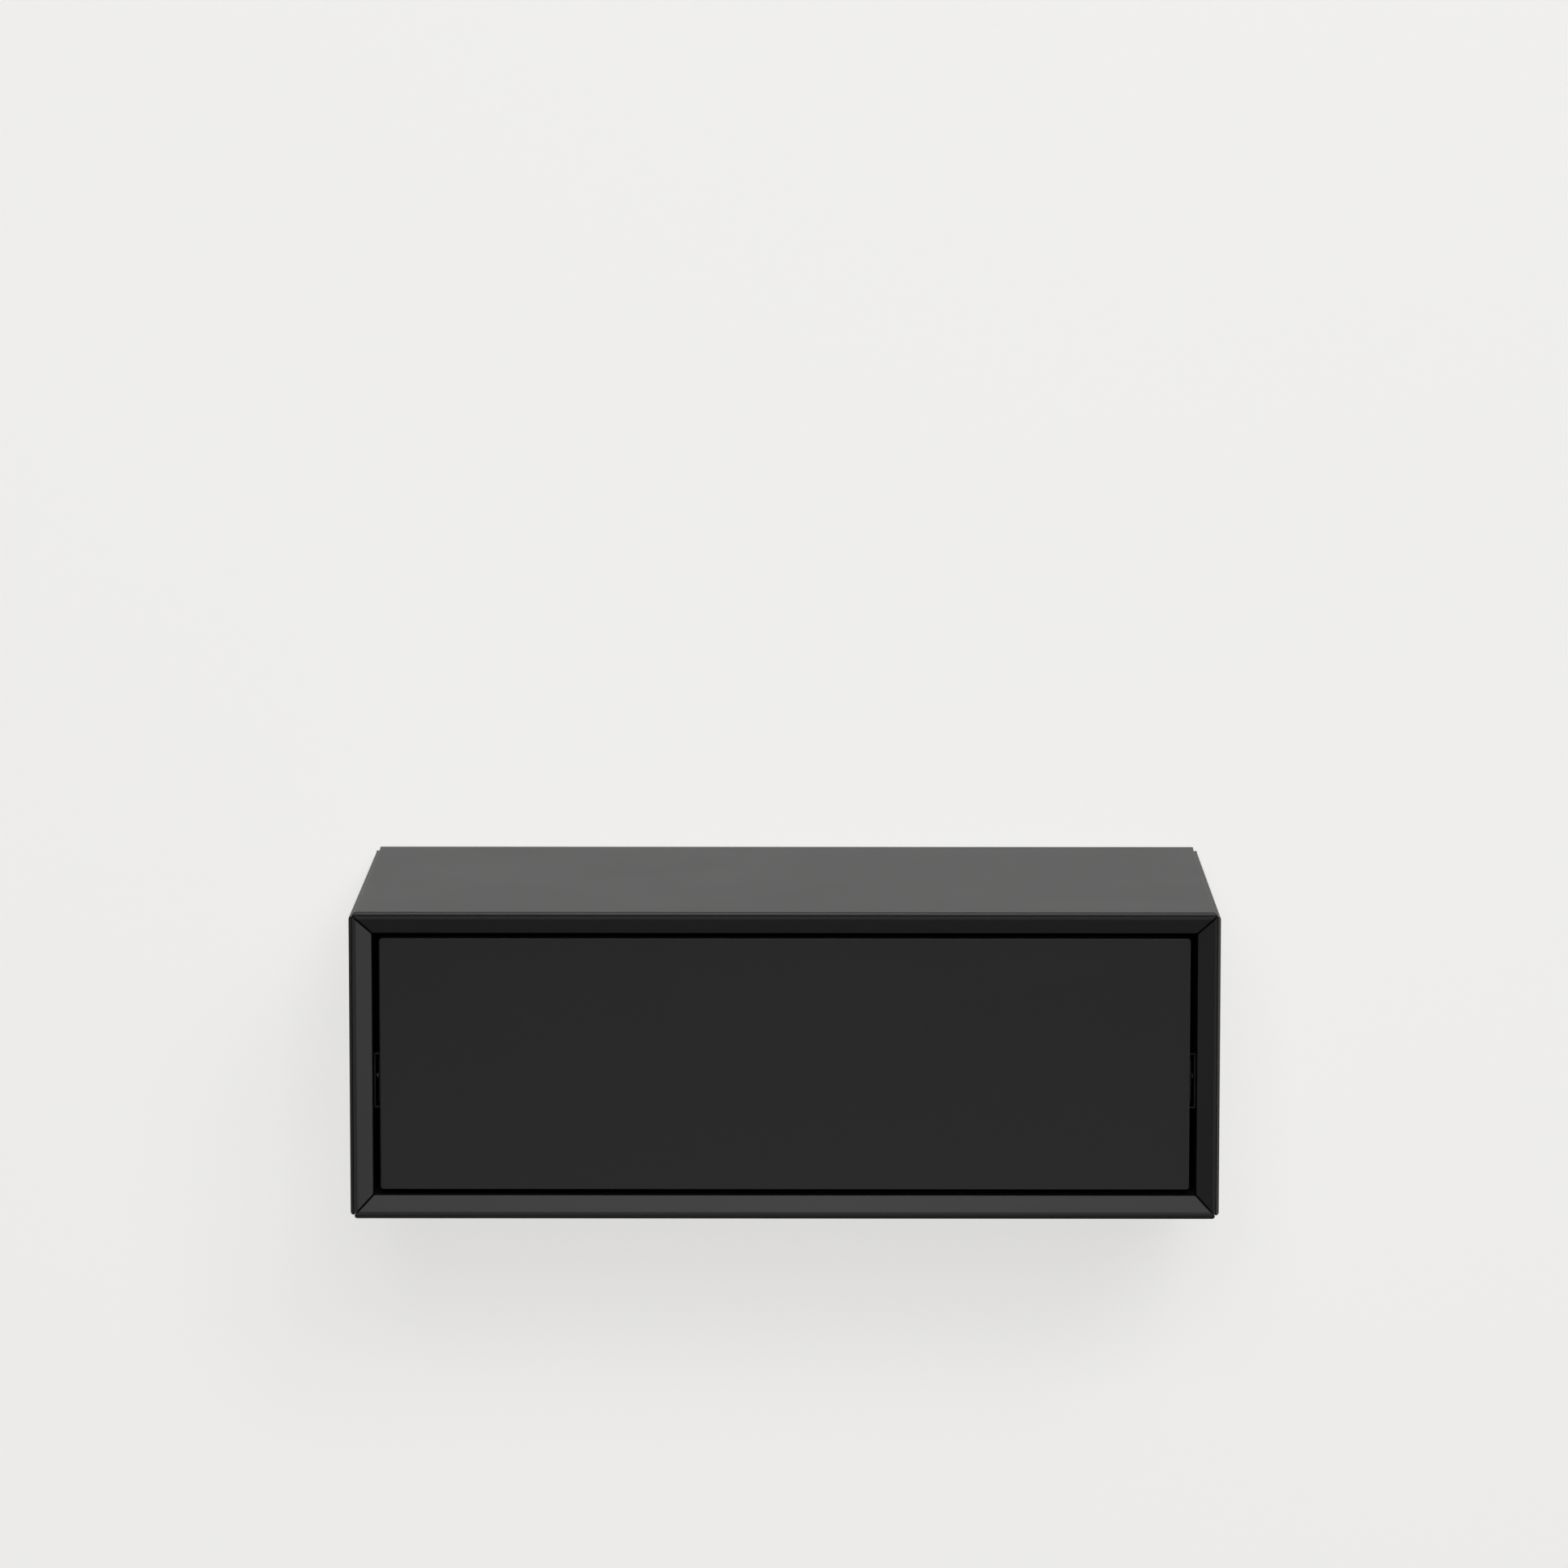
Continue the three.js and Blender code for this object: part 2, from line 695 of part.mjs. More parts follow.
function latches() {
  for (const [hand, sign] of hands) {
    const x = sign * latchFromMiddle;
    add(`${hand}_latch_housing`, latchHousing(x), latchPlastic);
    latchScrewSeats(sign).forEach((seat, i) =>
      screw(`${hand}_latch_screw_${i + 1}`, latchScrew, seat, down),
    );

    const at = (y) => point(x, y, plungerHeight);
    const collarFront = latchFront + plungerInside;
    const stem = rod(plungerRadius, at(plungerTip), at(collarFront + collarLong));
    const collar = rod(plungerCollar, at(collarFront), at(collarFront + collarLong));
    const nose = rod(plungerCollar, at(plungerTip), at(plungerTip + noseLong));
    add(`${hand}_latch_plunger`, join(stem, collar, nose), plungerPlastic);

    const capFront = latchBack - capLong;
    add(`${hand}_latch_end_cap`, rod(plungerCollar, at(capFront), at(latchBack)), latchPlastic);

    const springFrom = collarFront + collarLong + clearance + springWire;
    const springTo = capFront - clearance - springWire;
    const coil = plungerCollar - springWire - clearance;
    const wire = new THREE.Shape().absarc(0, 0, springWire, 0, 2 * Math.PI, false);
    const spring = new THREE.ExtrudeGeometry(wire, {
      steps: springTurns * springSteps,
      curveSegments: wireSides / 2,
      extrudePath: new Helix(coil, springFrom, springTo, springTurns),
    });
    add(`${hand}_latch_spring`, spring.translate(x, 0, plungerHeight), zinc);

    const striker = outline([
      [strikerBack, floor + strikerOverFloor],
      [strikerBack, strikerTop],
      [strikerBack - strikerFoot, strikerTop],
      [strikerBack - strikerFoot, strikerTop - strikerSteel],
      [strikerBack - strikerSteel, strikerTop - strikerSteel],
      [strikerBack - strikerSteel, floor + strikerOverFloor],
    ]);
    const plate = bar("x", striker, x - strikerWide / 2, x + strikerWide / 2);
    const strikerSeat = strikerScrewSeat(sign);
    add(`${hand}_latch_striker`, cut(plate, screwHole(strikerScrew, strikerSeat, up)), zinc);
    screw(`${hand}_latch_striker_screw`, strikerScrew, strikerSeat, up);
  }
}

// ---------------------------------------------------------------- hanging

function wallRail() {
  const lipBack = -railStandoff;
  const lipFront = lipBack - railSteel;
  const section = outline([
    [0, railLow],
    [0, railStep + railSteel],
    [lipBack, railStep + railSteel],
    [lipBack, railTop],
    [lipFront, railTop],
    [lipFront, railStep],
    [-railSteel, railStep],
    [-railSteel, railLow],
  ]);
  const rail = bar("x", section, -railHalf, railHalf);
  const slotZ = (railLow + railStep) / 2;
  const reach = (railSlotLong - railSlotWide) / 2;
  const slots = railSlots.map((share) => {
    const x = share * 2 * railHalf;
    const shape = new THREE.Shape();
    shape.absarc(x + reach, slotZ, railSlotWide / 2, -Math.PI / 2, Math.PI / 2, false);
    shape.absarc(x - reach, slotZ, railSlotWide / 2, Math.PI / 2, 1.5 * Math.PI, false);
    return bar("z", shape, -1, railSteel + 1).rotateX(Math.PI / 2);
  });
  add("wall_rail", cut(rail, ...slots), zinc);
}

// A hook: a plate in front of the rail's lip, folded over it, and a wing screwed to the side board.
function hooks() {
  const plateBack = -railStandoff - railSteel - hookGap;
  const plateFront = plateBack - railSteel;
  const bridge = hookTop - railSteel;
  const tipBack = -(railStandoff - railSteel) / 2;
  const section = outline([
    [plateBack, hookPlateLow],
    [plateBack, bridge],
    [tipBack - railSteel, bridge],
    [tipBack - railSteel, railTop - hookReach],
    [tipBack, railTop - hookReach],
    [tipBack, hookTop],
    [plateFront, hookTop],
    [plateFront, hookPlateLow],
  ]);
  const outer = innerSide - contact;
  for (const [hand, sign] of hands) {
    const across = (from, to) => [sign * from, sign * to].sort((a, b) => a - b);
    const plate = bar("x", section, ...across(outer - hookWide, outer));
    const wing = block(
      across(outer - railSteel, outer),
      [-backRecess + clearance, tipBack],
      [hookWingLow, hookTop],
    );
    const outward = point(sign, 0, 0);
    const seats = hookScrewSeats(sign);
    const holes = seats.map((seat) => screwHole(hookScrew, seat, outward));
    add(`${hand}_hanging_hook`, cut(join(plate, wing), ...holes), zinc);
    seats.forEach((seat, i) => screw(`${hand}_hook_screw_${i + 1}`, hookScrew, seat, outward));
  }
}

// ---------------------------------------------------------------- the unit

carcassBoards();
wallRail();
hooks();
runners();
latches();
drawerFront();
drawerBox();
frontScrewSeats.forEach((seat, i) => screw(`drawer_front_screw_${i + 1}`, frontScrew, seat, ahead));

const drawerUnit = new THREE.Group();
drawerUnit.add(unit);
export default drawerUnit;
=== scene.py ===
# %% [markdown]
# # A wall-hung drawer unit
# This lesson dresses the measured model of a low black drawer unit that hangs on a wall. The unit is four
# mitred boards with bevelled front edges, one drawer without a handle, two ball runners, two push latches
# and the steel fittings that it hangs on. The measured model, called the frame, already holds every piece
# in its right place and says which body each one moves with. We could paint those solids as they are, but
# they have knife edges and coarse arcs, so most of them are made again here, each in the space its solid
# fills.

# %% Load the frame
import json
import math
import bmesh
import bpy
from mathutils import Matrix, Vector


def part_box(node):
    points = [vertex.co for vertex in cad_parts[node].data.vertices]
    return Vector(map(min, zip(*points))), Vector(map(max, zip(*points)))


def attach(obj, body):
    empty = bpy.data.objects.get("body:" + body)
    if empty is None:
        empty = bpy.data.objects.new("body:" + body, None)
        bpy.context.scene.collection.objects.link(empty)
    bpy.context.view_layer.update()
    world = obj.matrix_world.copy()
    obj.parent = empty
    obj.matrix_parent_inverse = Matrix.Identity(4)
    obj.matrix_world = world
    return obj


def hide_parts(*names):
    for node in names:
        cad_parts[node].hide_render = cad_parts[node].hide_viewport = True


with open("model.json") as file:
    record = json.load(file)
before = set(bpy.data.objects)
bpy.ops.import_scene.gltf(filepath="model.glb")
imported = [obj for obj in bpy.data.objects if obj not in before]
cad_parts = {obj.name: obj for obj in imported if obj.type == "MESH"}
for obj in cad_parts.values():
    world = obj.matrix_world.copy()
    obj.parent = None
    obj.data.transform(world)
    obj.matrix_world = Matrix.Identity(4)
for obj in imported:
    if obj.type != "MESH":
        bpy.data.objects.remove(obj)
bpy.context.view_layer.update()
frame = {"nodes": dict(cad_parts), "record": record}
record = frame["record"]
MM = 0.001

# %% [markdown]
# ## The sizes that the pieces share
# A joiner marks out from finished boards, and we do the same: the thickness of a board, the size of the
# case and the step at its corners are read off the frame's boxes. Only what a box can't tell, such as how
# deep a bevel falls, is written here as a number.

# %% Read the sizes off the frame
top_low, top_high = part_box("top_panel")
bottom_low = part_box("bottom_panel")[0]
side_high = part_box("right_side_panel")[1]
panel_low, panel_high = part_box("back_panel")
front_low, front_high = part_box("drawer_front")

BOARD = top_high.z - top_low.z
CASE_HALF = side_high.x
CASE_WIDE = 2 * CASE_HALF
CASE_HIGH = top_high.z - bottom_low.z
CASE_FRONT = top_low.y
CASE_DEEP = -CASE_FRONT
CORNER_STEP = CASE_HALF - top_high.x
print("case", CASE_WIDE, CASE_HIGH, CASE_DEEP, "board", BOARD, "corner step", CORNER_STEP)

# %% [markdown]
# ## The camera
# The unit hangs a little below the eye, and a long lens from far back keeps its edges nearly parallel. We
# set the camera where such a view is had, turn it down and a hair to the left, and leave its shift and its
# depth of field alone, so that any other view of the model starts from a plain camera.

# %% Set up the camera
EYE = Vector((0.0265, -6.232, 0.927))
LOOK_DOWN = math.radians(7.478)
LOOK_LEFT = math.radians(0.264)
LENS = 169.45

camera_data = bpy.data.cameras.new("camera")
camera_data.lens = LENS
camera_data.sensor_width = 36
camera_data.clip_end = 50
camera = bpy.data.objects.new("camera", camera_data)
camera.location = EYE
camera.rotation_euler = (math.pi / 2 - LOOK_DOWN, 0, LOOK_LEFT)
bpy.context.scene.collection.objects.link(camera)
bpy.context.scene.camera = camera
bpy.context.scene.view_settings.view_transform = "Standard"
print("camera at", tuple(EYE), "lens", LENS)

# %% [markdown]
# ## Small tools for materials
# Every finish here is a short chain of nodes that starts from Object coordinates, because a piece's object
# sits at the origin and the pattern then stays on the piece when it moves. Writing each chain out in full
# would hide what matters about it. So a finish is a small bench with the tools that all of them need. The
# first ones add a node, link two, and give the place where a pattern is read.


# %% Tools: a material's bench
class Bench:
    """A material in the making: its nodes, its shader and the links between them."""

    def __init__(self, name, metallic=0.0, specular=0.5):
        self.material = bpy.data.materials.new(name)
        self.material.use_nodes = True
        self.tree = self.material.node_tree
        self.shader = self.tree.nodes["Principled BSDF"]
        self.shader.inputs["Metallic"].default_value = metallic
        self.shader.inputs["Specular IOR Level"].default_value = specular
        self.coordinates = self.tree.nodes.new("ShaderNodeTexCoord").outputs["Object"]

    def add(self, kind, **settings):
        node = self.tree.nodes.new(kind)
        for key, value in settings.items():
            setattr(node, key, value)
        return node

    def link(self, source, target):
        self.tree.links.new(source, target)

    def place(self, stretch=(1, 1, 1), turn=(0, 0, 0)):
        """Object coordinates, turned and then stretched."""
        mapping = self.add("ShaderNodeMapping", vector_type="POINT")
        mapping.inputs["Scale"].default_value = stretch
        mapping.inputs["Rotation"].default_value = turn
        self.link(self.coordinates, mapping.inputs["Vector"])
        return mapping.outputs["Vector"]


# %% [markdown]
# The other tools make the pattern: a noise with grains of a given size, a change of its range, its turning
# into colour, and a sum of two. The last three carry it to the shader, as bump, as colour or as roughness.


# %% Tools: noise, range, colour, sum, bump
class Finish(Bench):
    """A finish, built from patterns."""

    def noise(self, grain, detail=2.0, roughness=0.5, stretch=(1, 1, 1), turn=(0, 0, 0)):
        """A noise whose grains are that many metres across."""
        node = self.add("ShaderNodeTexNoise")
        node.inputs["Scale"].default_value = 1 / grain
        node.inputs["Detail"].default_value = detail
        node.inputs["Roughness"].default_value = roughness
        self.link(self.place(stretch, turn), node.inputs["Vector"])
        return node.outputs["Fac"]

    def ranged(self, value, low, high, from_low=0.3, from_high=0.7):
        """A pattern's value brought into the range from low to high."""
        node = self.add("ShaderNodeMapRange")
        node.inputs["From Min"].default_value = from_low
        node.inputs["From Max"].default_value = from_high
        node.inputs["To Min"].default_value = low
        node.inputs["To Max"].default_value = high
        self.link(value, node.inputs["Value"])
        return node.outputs["Result"]

    def coloured(self, value, *stops):
        """A pattern's value turned into colour, through stops of (place, (red, green, blue))."""
        ramp = self.add("ShaderNodeValToRGB")
        while len(ramp.color_ramp.elements) < len(stops):
            ramp.color_ramp.elements.new(0.5)
        for element, (where, colour) in zip(ramp.color_ramp.elements, stops):
            element.position = where
            element.color = (*colour, 1)
        self.link(value, ramp.inputs["Fac"])
        return ramp.outputs["Color"]

    def worked(self, one, other, operation="ADD"):
        """Two patterns' values added, or joined in another way."""
        node = self.add("ShaderNodeMath", operation=operation)
        self.link(one, node.inputs[0])
        if isinstance(other, (int, float)):
            node.inputs[1].default_value = other
        else:
            self.link(other, node.inputs[1])
        return node.outputs["Value"]

    def bump(self, value, height, strength=1.0):
        """Ridges of that height in metres, on top of any that are there already."""
        node = self.add("ShaderNodeBump")
        node.inputs["Distance"].default_value = height
        node.inputs["Strength"].default_value = strength
        self.link(value, node.inputs["Height"])
        before = self.shader.inputs["Normal"].links
        if before:
            self.link(before[0].from_socket, node.inputs["Normal"])
        self.link(node.outputs["Normal"], self.shader.inputs["Normal"])

    def colour(self, source):
        self.link(source, self.shader.inputs["Base Color"])

    def roughness(self, source):
        self.link(source, self.shader.inputs["Roughness"])


finishes = {}
print("tools", [name for name in vars(Finish) if not name.startswith("_")])

# %% [markdown]
# ## Black lacquer
# The case, its back and the drawer front are fibreboard sprayed with a matt, neutral black lacquer. It is
# never one flat black: the spray leaves an orange-peel skin about a millimetre and a half across, the gloss
# drifts a little from place to place, and under a low light fine dust lies in it. A dark base with a broad
# gloss gives the deep front and the paler top, where the wall is seen in it at a low angle, so no second
# colour is painted on the top.

# %% Black lacquer
BLACK = (0.0135, 0.0135, 0.0137)
BLACK_WORN = (0.0155, 0.0155, 0.0158)
LACQUER_GLOSS = 0.23
SATIN = (0.45, 0.47)
GRITTY = (-0.03, 0.03)
GRIT = 0.35 * MM
PEEL = 1.5 * MM
PEEL_HIGH = 0.012 * MM
CLOUD = 90 * MM

lacquer = Finish("black_lacquer", specular=LACQUER_GLOSS)
cloud = lacquer.noise(CLOUD, detail=3)
lacquer.colour(lacquer.coloured(cloud, (0.35, BLACK), (0.7, BLACK_WORN)))
grit = lacquer.noise(GRIT, detail=2)
lacquer.roughness(lacquer.worked(lacquer.ranged(cloud, *SATIN), lacquer.ranged(grit, *GRITTY)))
lacquer.bump(lacquer.noise(PEEL, detail=1), PEEL_HIGH)
lacquer.bump(grit, PEEL_HIGH / 4)
finishes["black_lacquer"] = lacquer.material
print("black lacquer", len(lacquer.tree.nodes), "nodes")

# %% [markdown]
# ## Grey foil
# The drawer box isn't lacquered. Such boxes are chipboard wrapped in a printed foil with a faint linen
# weave: two sets of threads that cross. A wave texture along each thread direction would do, and so would
# a brick texture, but waves stay soft and even. The threads are mostly bump, with a little of their
# pattern in the colour.

# %% Grey foil board
THREAD = 0.9 * MM
THREAD_HIGH = 0.04 * MM
FOIL_DARK = (0.040, 0.041, 0.044)
FOIL_LIGHT = (0.066, 0.067, 0.071)

foil = Finish("grey_foil_board", specular=0.4)


def threads(finish, direction):
    """Soft parallel threads across one of the object's axes, a little uneven."""
    wave = finish.add("ShaderNodeTexWave", wave_type="BANDS", bands_direction=direction)
    wave.inputs["Scale"].default_value = math.pi / (10 * THREAD)
    wave.inputs["Distortion"].default_value = 0.6
    wave.inputs["Detail"].default_value = 1
    finish.link(finish.coordinates, wave.inputs["Vector"])
    return wave.outputs["Fac"]


weave = foil.worked(threads(foil, "DIAGONAL"), threads(foil, "Z"), "MULTIPLY")
fleck = foil.noise(2.5 * MM, detail=4, stretch=(1, 0.25, 1))
print_tone = foil.worked(foil.ranged(weave, 0.0, 0.35, 0, 1), foil.ranged(fleck, 0.1, 0.6), "ADD")
foil.colour(foil.coloured(print_tone, (0.0, FOIL_DARK), (0.9, FOIL_LIGHT)))
foil.roughness(foil.ranged(fleck, 0.5, 0.6))
foil.bump(weave, THREAD_HIGH, 0.7)
finishes["grey_foil_board"] = foil.material
print("grey foil", len(foil.tree.nodes), "nodes")

# %% [markdown]
# ## Bare beech
# Beech is pale, straight in the grain and full of short brown flecks. Long rings come from a noise that is
# stretched twenty times along the board, and the flecks from a second, finer one.

# %% Bare beech
BEECH_PALE = (0.58, 0.40, 0.24)
BEECH_WARM = (0.46, 0.30, 0.165)
BEECH_FLECK = (0.30, 0.17, 0.085)
RING = 4 * MM
FLECK = 0.8 * MM
PORE_DEEP = 0.03 * MM

beech = Finish("bare_beech", specular=0.3)
rings = beech.noise(RING, detail=4, stretch=(1, 0.05, 1))
flecks = beech.noise(FLECK, detail=2, stretch=(1, 0.12, 1))
grain = beech.worked(beech.ranged(rings, 0.1, 0.7), beech.ranged(flecks, 0.0, 0.3, 0.5, 0.8))
beech.colour(beech.coloured(grain, (0.1, BEECH_PALE), (0.6, BEECH_WARM), (0.9, BEECH_FLECK)))
beech.roughness(beech.ranged(rings, 0.6, 0.72))
beech.bump(flecks, PORE_DEEP)
finishes["bare_beech"] = beech.material
print("beech", len(beech.tree.nodes), "nodes")

# %% [markdown]
# ## Zinc-plated steel
# The rail, the hooks, the runners and the strikers are rolled steel with a zinc plate. Rolling draws fine
# lines along the strip, and the plate has pale and dull patches with a breath of blue. Both are noises:
# one stretched along the strip for the lines, one even for the patches. The rail is rolled along X and the
# runners along Y, so there is one finish for each way, made by one function. The runners' ends lie right
# behind the gap round the drawer front, where bright zinc would show. So the runners' zinc is painted
# near-black, as painted shade that keeps the gap dark all round, and that is the third finish.


# %% Zinc-plated steel
ZINC_PATCH = 9 * MM
ROLLED_LINE = 0.7 * MM
LINE_HIGH = 0.008 * MM
ROLLED_ALONG_X = (0.03, 1, 1)
ROLLED_ALONG_Y = (1, 0.03, 1)
BLUE_ZINC = ((0.54, 0.56, 0.58), (0.62, 0.62, 0.61))
# Near-black zinc for the runners: painted shade, so that the gap round the drawer front stays dark.
SHADE_BLACK_ZINC = ((0.014, 0.014, 0.016), (0.022, 0.021, 0.020))


def zinc_plate(name, along, dull, bright):
    """Zinc of two tones on steel that was rolled along one axis, given as a stretch."""
    zinc = Finish(name, metallic=1.0)
    patches = zinc.noise(ZINC_PATCH, detail=4, roughness=0.6)
    lines = zinc.noise(ROLLED_LINE, detail=2, stretch=along)
    zinc.colour(zinc.coloured(patches, (0.3, dull), (0.7, bright)))
    zinc.roughness(zinc.worked(zinc.ranged(patches, 0.38, 0.32), zinc.ranged(lines, -0.04, 0.05)))
    zinc.bump(lines, LINE_HIGH)
    return zinc.material


finishes["zinc_plated_steel"] = zinc_plate("zinc_plated_steel", ROLLED_ALONG_Y, *BLUE_ZINC)
zinc_across = zinc_plate("zinc_plated_steel_rail", ROLLED_ALONG_X, *BLUE_ZINC)
# The runners' zinc, painted near-black as shade for the gap round the drawer front.
zinc_painted_shade = zinc_plate("zinc_plated_steel_painted_shade", ROLLED_ALONG_Y, *SHADE_BLACK_ZINC)
print("zinc plate, bright in two ways and black")

# %% [markdown]
# ## Screws, balls and springs
# These are the same metal with other skins. A screw's head is turned and then plated, so it is a little
# rougher. The balls are hardened and polished, and they run in oil, so there is only a trace of a film on
# them. Spring wire is drawn, darker, and rough along its length.


# %% Small steel finishes
def small_steel(name, dark, light, rough_low, rough_high, grain, height):
    """A metal for small pieces: two tones, a range of roughness and a fine grain."""
    steel = Finish(name, metallic=1.0)
    mottle = steel.noise(grain * 4, detail=3)
    fine = steel.noise(grain, detail=2)
    steel.colour(steel.coloured(mottle, (0.3, dark), (0.7, light)))
    steel.roughness(steel.ranged(mottle, rough_low, rough_high))
    steel.bump(fine, height)
    finishes[name] = steel.material


small_steel("screw_steel", (0.42, 0.43, 0.45), (0.58, 0.58, 0.57), 0.30, 0.46, 0.4 * MM, 0.01 * MM)
small_steel("ball_steel", (0.60, 0.61, 0.62), (0.70, 0.70, 0.69), 0.10, 0.20, 0.8 * MM, 0.001 * MM)
small_steel("spring_steel", (0.30, 0.30, 0.31), (0.46, 0.46, 0.47), 0.28, 0.42, 0.15 * MM, 0.004 * MM)
print("small steels", [name for name in finishes if name.endswith("steel")])

# %% [markdown]
# ## Moulded plastics
# The latches are grey nylon from a mould whose walls were etched by sparks, which leaves a fine, even
# pebble. The plungers are white acetal from a polished mould, smooth and slightly waxy.

# %% Moulded plastics
NYLON_DARK = (0.088, 0.092, 0.096)
NYLON_LIGHT = (0.108, 0.112, 0.116)
ACETAL_DARK = (0.66, 0.65, 0.60)
ACETAL_LIGHT = (0.72, 0.71, 0.67)
PEBBLE = 0.3 * MM
PEBBLE_HIGH = 0.012 * MM
NYLON_TINT = 12 * MM
ACETAL_FLOW = 6 * MM
WAX = 1.5 * MM

nylon = Finish("grey_nylon")
pebble = nylon.noise(PEBBLE, detail=2)
tint = nylon.noise(NYLON_TINT, detail=2)
nylon.colour(nylon.coloured(tint, (0.3, NYLON_DARK), (0.7, NYLON_LIGHT)))
nylon.roughness(nylon.ranged(pebble, 0.48, 0.62))
nylon.bump(pebble, PEBBLE_HIGH)
finishes["grey_nylon"] = nylon.material

acetal = Finish("white_acetal")
flow = acetal.noise(ACETAL_FLOW, detail=2, stretch=(1, 0.3, 1))
acetal.colour(acetal.coloured(flow, (0.3, ACETAL_DARK), (0.7, ACETAL_LIGHT)))
acetal.roughness(acetal.ranged(flow, 0.30, 0.38))
acetal.bump(acetal.noise(4 * PEBBLE), PEBBLE_HIGH / 3)
acetal.shader.inputs["Subsurface Weight"].default_value = 0.1
acetal.shader.inputs["Subsurface Scale"].default_value = WAX
finishes["white_acetal"] = acetal.material
print("finishes", sorted(finishes))

# %% [markdown]
# ## Modifiers that work on a mesh in the making
# Most shaping here is done with bmesh operators, but two jobs are better left to modifiers. No real edge
# is a knife edge, and the Bevel modifier can round every edge of a piece at once, each by its own weight,
# which gives clean corners where a large and a small rounding meet. The Boolean modifier cuts holes and
# joins blocks. A modifier needs an object, so these tools lend the mesh to a passing one, let the modifier
# work, and take the result back as a mesh. Each piece brings a rule that says how much one edge is
# rounded.


# %% Tools: lent, settled, rounded, carved
SHARP = math.radians(35)


def lent(bm):
    """A passing object that holds the mesh, for a modifier to work on."""
    mesh = bpy.data.meshes.new("passing")
    bm.to_mesh(mesh)
    bm.free()
    holder = bpy.data.objects.new("passing", mesh)
    bpy.context.scene.collection.objects.link(holder)
    return holder


def settled(body, *helpers):
    """The mesh as its modifiers leave it. The passing objects are thrown away."""
    result = bmesh.new()
    result.from_mesh(body.evaluated_get(bpy.context.evaluated_depsgraph_get()).to_mesh())
    for passing in (body, *helpers):
        mesh = passing.data
        bpy.data.objects.remove(passing)
        bpy.data.meshes.remove(mesh)
    return result


def rounded(bm, rule, steps=3):
    """The mesh with each edge rounded as far as the rule says, in metres."""
    weight = bm.edges.layers.float.new("bevel_weight_edge")
    rounds = {edge: rule(edge) for edge in bm.edges}
    widest = max(rounds.values())
    for edge, amount in rounds.items():
        edge[weight] = amount / widest
    body = lent(bm)
    ease = body.modifiers.new("rounded edges", "BEVEL")
    ease.limit_method = "WEIGHT"
    ease.width = widest
    ease.segments = steps
    ease.use_clamp_overlap = False
    return settled(body)


def carved(bm, cutters, operation="DIFFERENCE"):
    """The mesh with the cutters taken out of it, or joined to it. All the meshes are used up."""
    body = lent(bm)
    helpers = [lent(cutter) for cutter in cutters]
    for helper in helpers:
        step = body.modifiers.new("cut", "BOOLEAN")
        step.operation = operation
        step.solver = "EXACT"
        step.object = helper
    return settled(body, *helpers)


# %% [markdown]
# ## From a mesh to a piece
# A new piece needs the same last steps each time: smooth shading, its finish, the body it moves with and
# the solids it stands for. The frame's record already says which body and which finish every solid has, so
# a piece takes both from the first solid that it replaces. A Weighted Normal modifier keeps the large
# faces flat beside their rounded edges.


# %% Tool: finished
body_of = {
    node: body for body, nodes in record["behaviour"]["bodies"].items() for node in nodes
}
slot_of = {piece["node"]: piece["material_slot"] for piece in record["subparts"]}


def finished(name, bm, *stands_for, material=None):
    """Makes the mesh a piece that replaces those solids and takes its body and finish from the first."""
    first = stands_for[0]
    for face in bm.faces:
        face.smooth = True
    for edge in bm.edges:
        edge.smooth = edge.calc_face_angle(0) < SHARP
    mesh = bpy.data.meshes.new(name)
    bm.to_mesh(mesh)
    bm.free()
    mesh.materials.append(material or finishes[slot_of[first]])
    piece = bpy.data.objects.new(name, mesh)
    bpy.context.scene.collection.objects.link(piece)
    even = piece.modifiers.new("flat faces stay flat", "WEIGHTED_NORMAL")
    even.keep_sharp = True
    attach(piece, body_of[first])
    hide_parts(*stands_for)
    return piece


# %% [markdown]
# ## The four boards of the case
# Each board is one length of the same section: a flat outer face, a narrow front flat, a bevel that falls
# back towards the drawer, and a groove near the back for the back panel. Its ends are mitred, and its tips
# stop short of the corner, which leaves a small stepped groove down each corner of the case. A plain box
# would need many cuts to get there. Instead the section is drawn once as a face, extruded along the board,
# and cut at both ends with planes, as a saw would do it. Then the edges are eased: the front arris and the
# outer tips are well rounded, the inner tips and the edge of the bevel less, the mitre's edges just enough
# to draw a dark line, and every other edge only as much as sandpaper takes off.

# %% Sizes of a board's edges
EDGE_FLAT = 5 * MM
BEVEL_BACK = 8 * MM
MITRE_GAP = 0.8 * MM
GROOVE_SLACK = 0.15 * MM
GROOVE_DEEP = 6 * MM
TIP_ROUND = 2.6 * MM
ARRIS_ROUND = 3.0 * MM
BEVEL_ROUND = 1.2 * MM
INNER_TIP_ROUND = 1.6 * MM
MITRE_ROUND = 0.7 * MM
SANDED = 0.35 * MM
EDGE_STEPS = 5
HAIR = 0.01 * MM
SHALLOW = math.radians(20)

BOARD_ACROSS = [
    (0, CASE_FRONT),
    (EDGE_FLAT, CASE_FRONT),
    (BOARD, CASE_FRONT + BEVEL_BACK),
    (BOARD, panel_low.y - GROOVE_SLACK),
    (BOARD - GROOVE_DEEP, panel_low.y - GROOVE_SLACK),
    (BOARD - GROOVE_DEEP, panel_high.y + GROOVE_SLACK),
    (BOARD, panel_high.y + GROOVE_SLACK),
    (BOARD, 0),
    (0, 0),
]


# %% Tools: extrude a section, saw off an end
def moved(result):
    """The vertices among the things that an operator made."""
    return [item for item in result["geom"] if isinstance(item, bmesh.types.BMVert)]


def extruded(corners, run):
    """A bar with that section, extruded along a vector."""
    bm = bmesh.new()
    section = bm.faces.new([bm.verts.new(corner) for corner in corners])
    far_end = bmesh.ops.extrude_face_region(bm, geom=[section])
    bmesh.ops.translate(bm, vec=run, verts=moved(far_end))
    bmesh.ops.recalc_face_normals(bm, faces=bm.faces)
    return bm


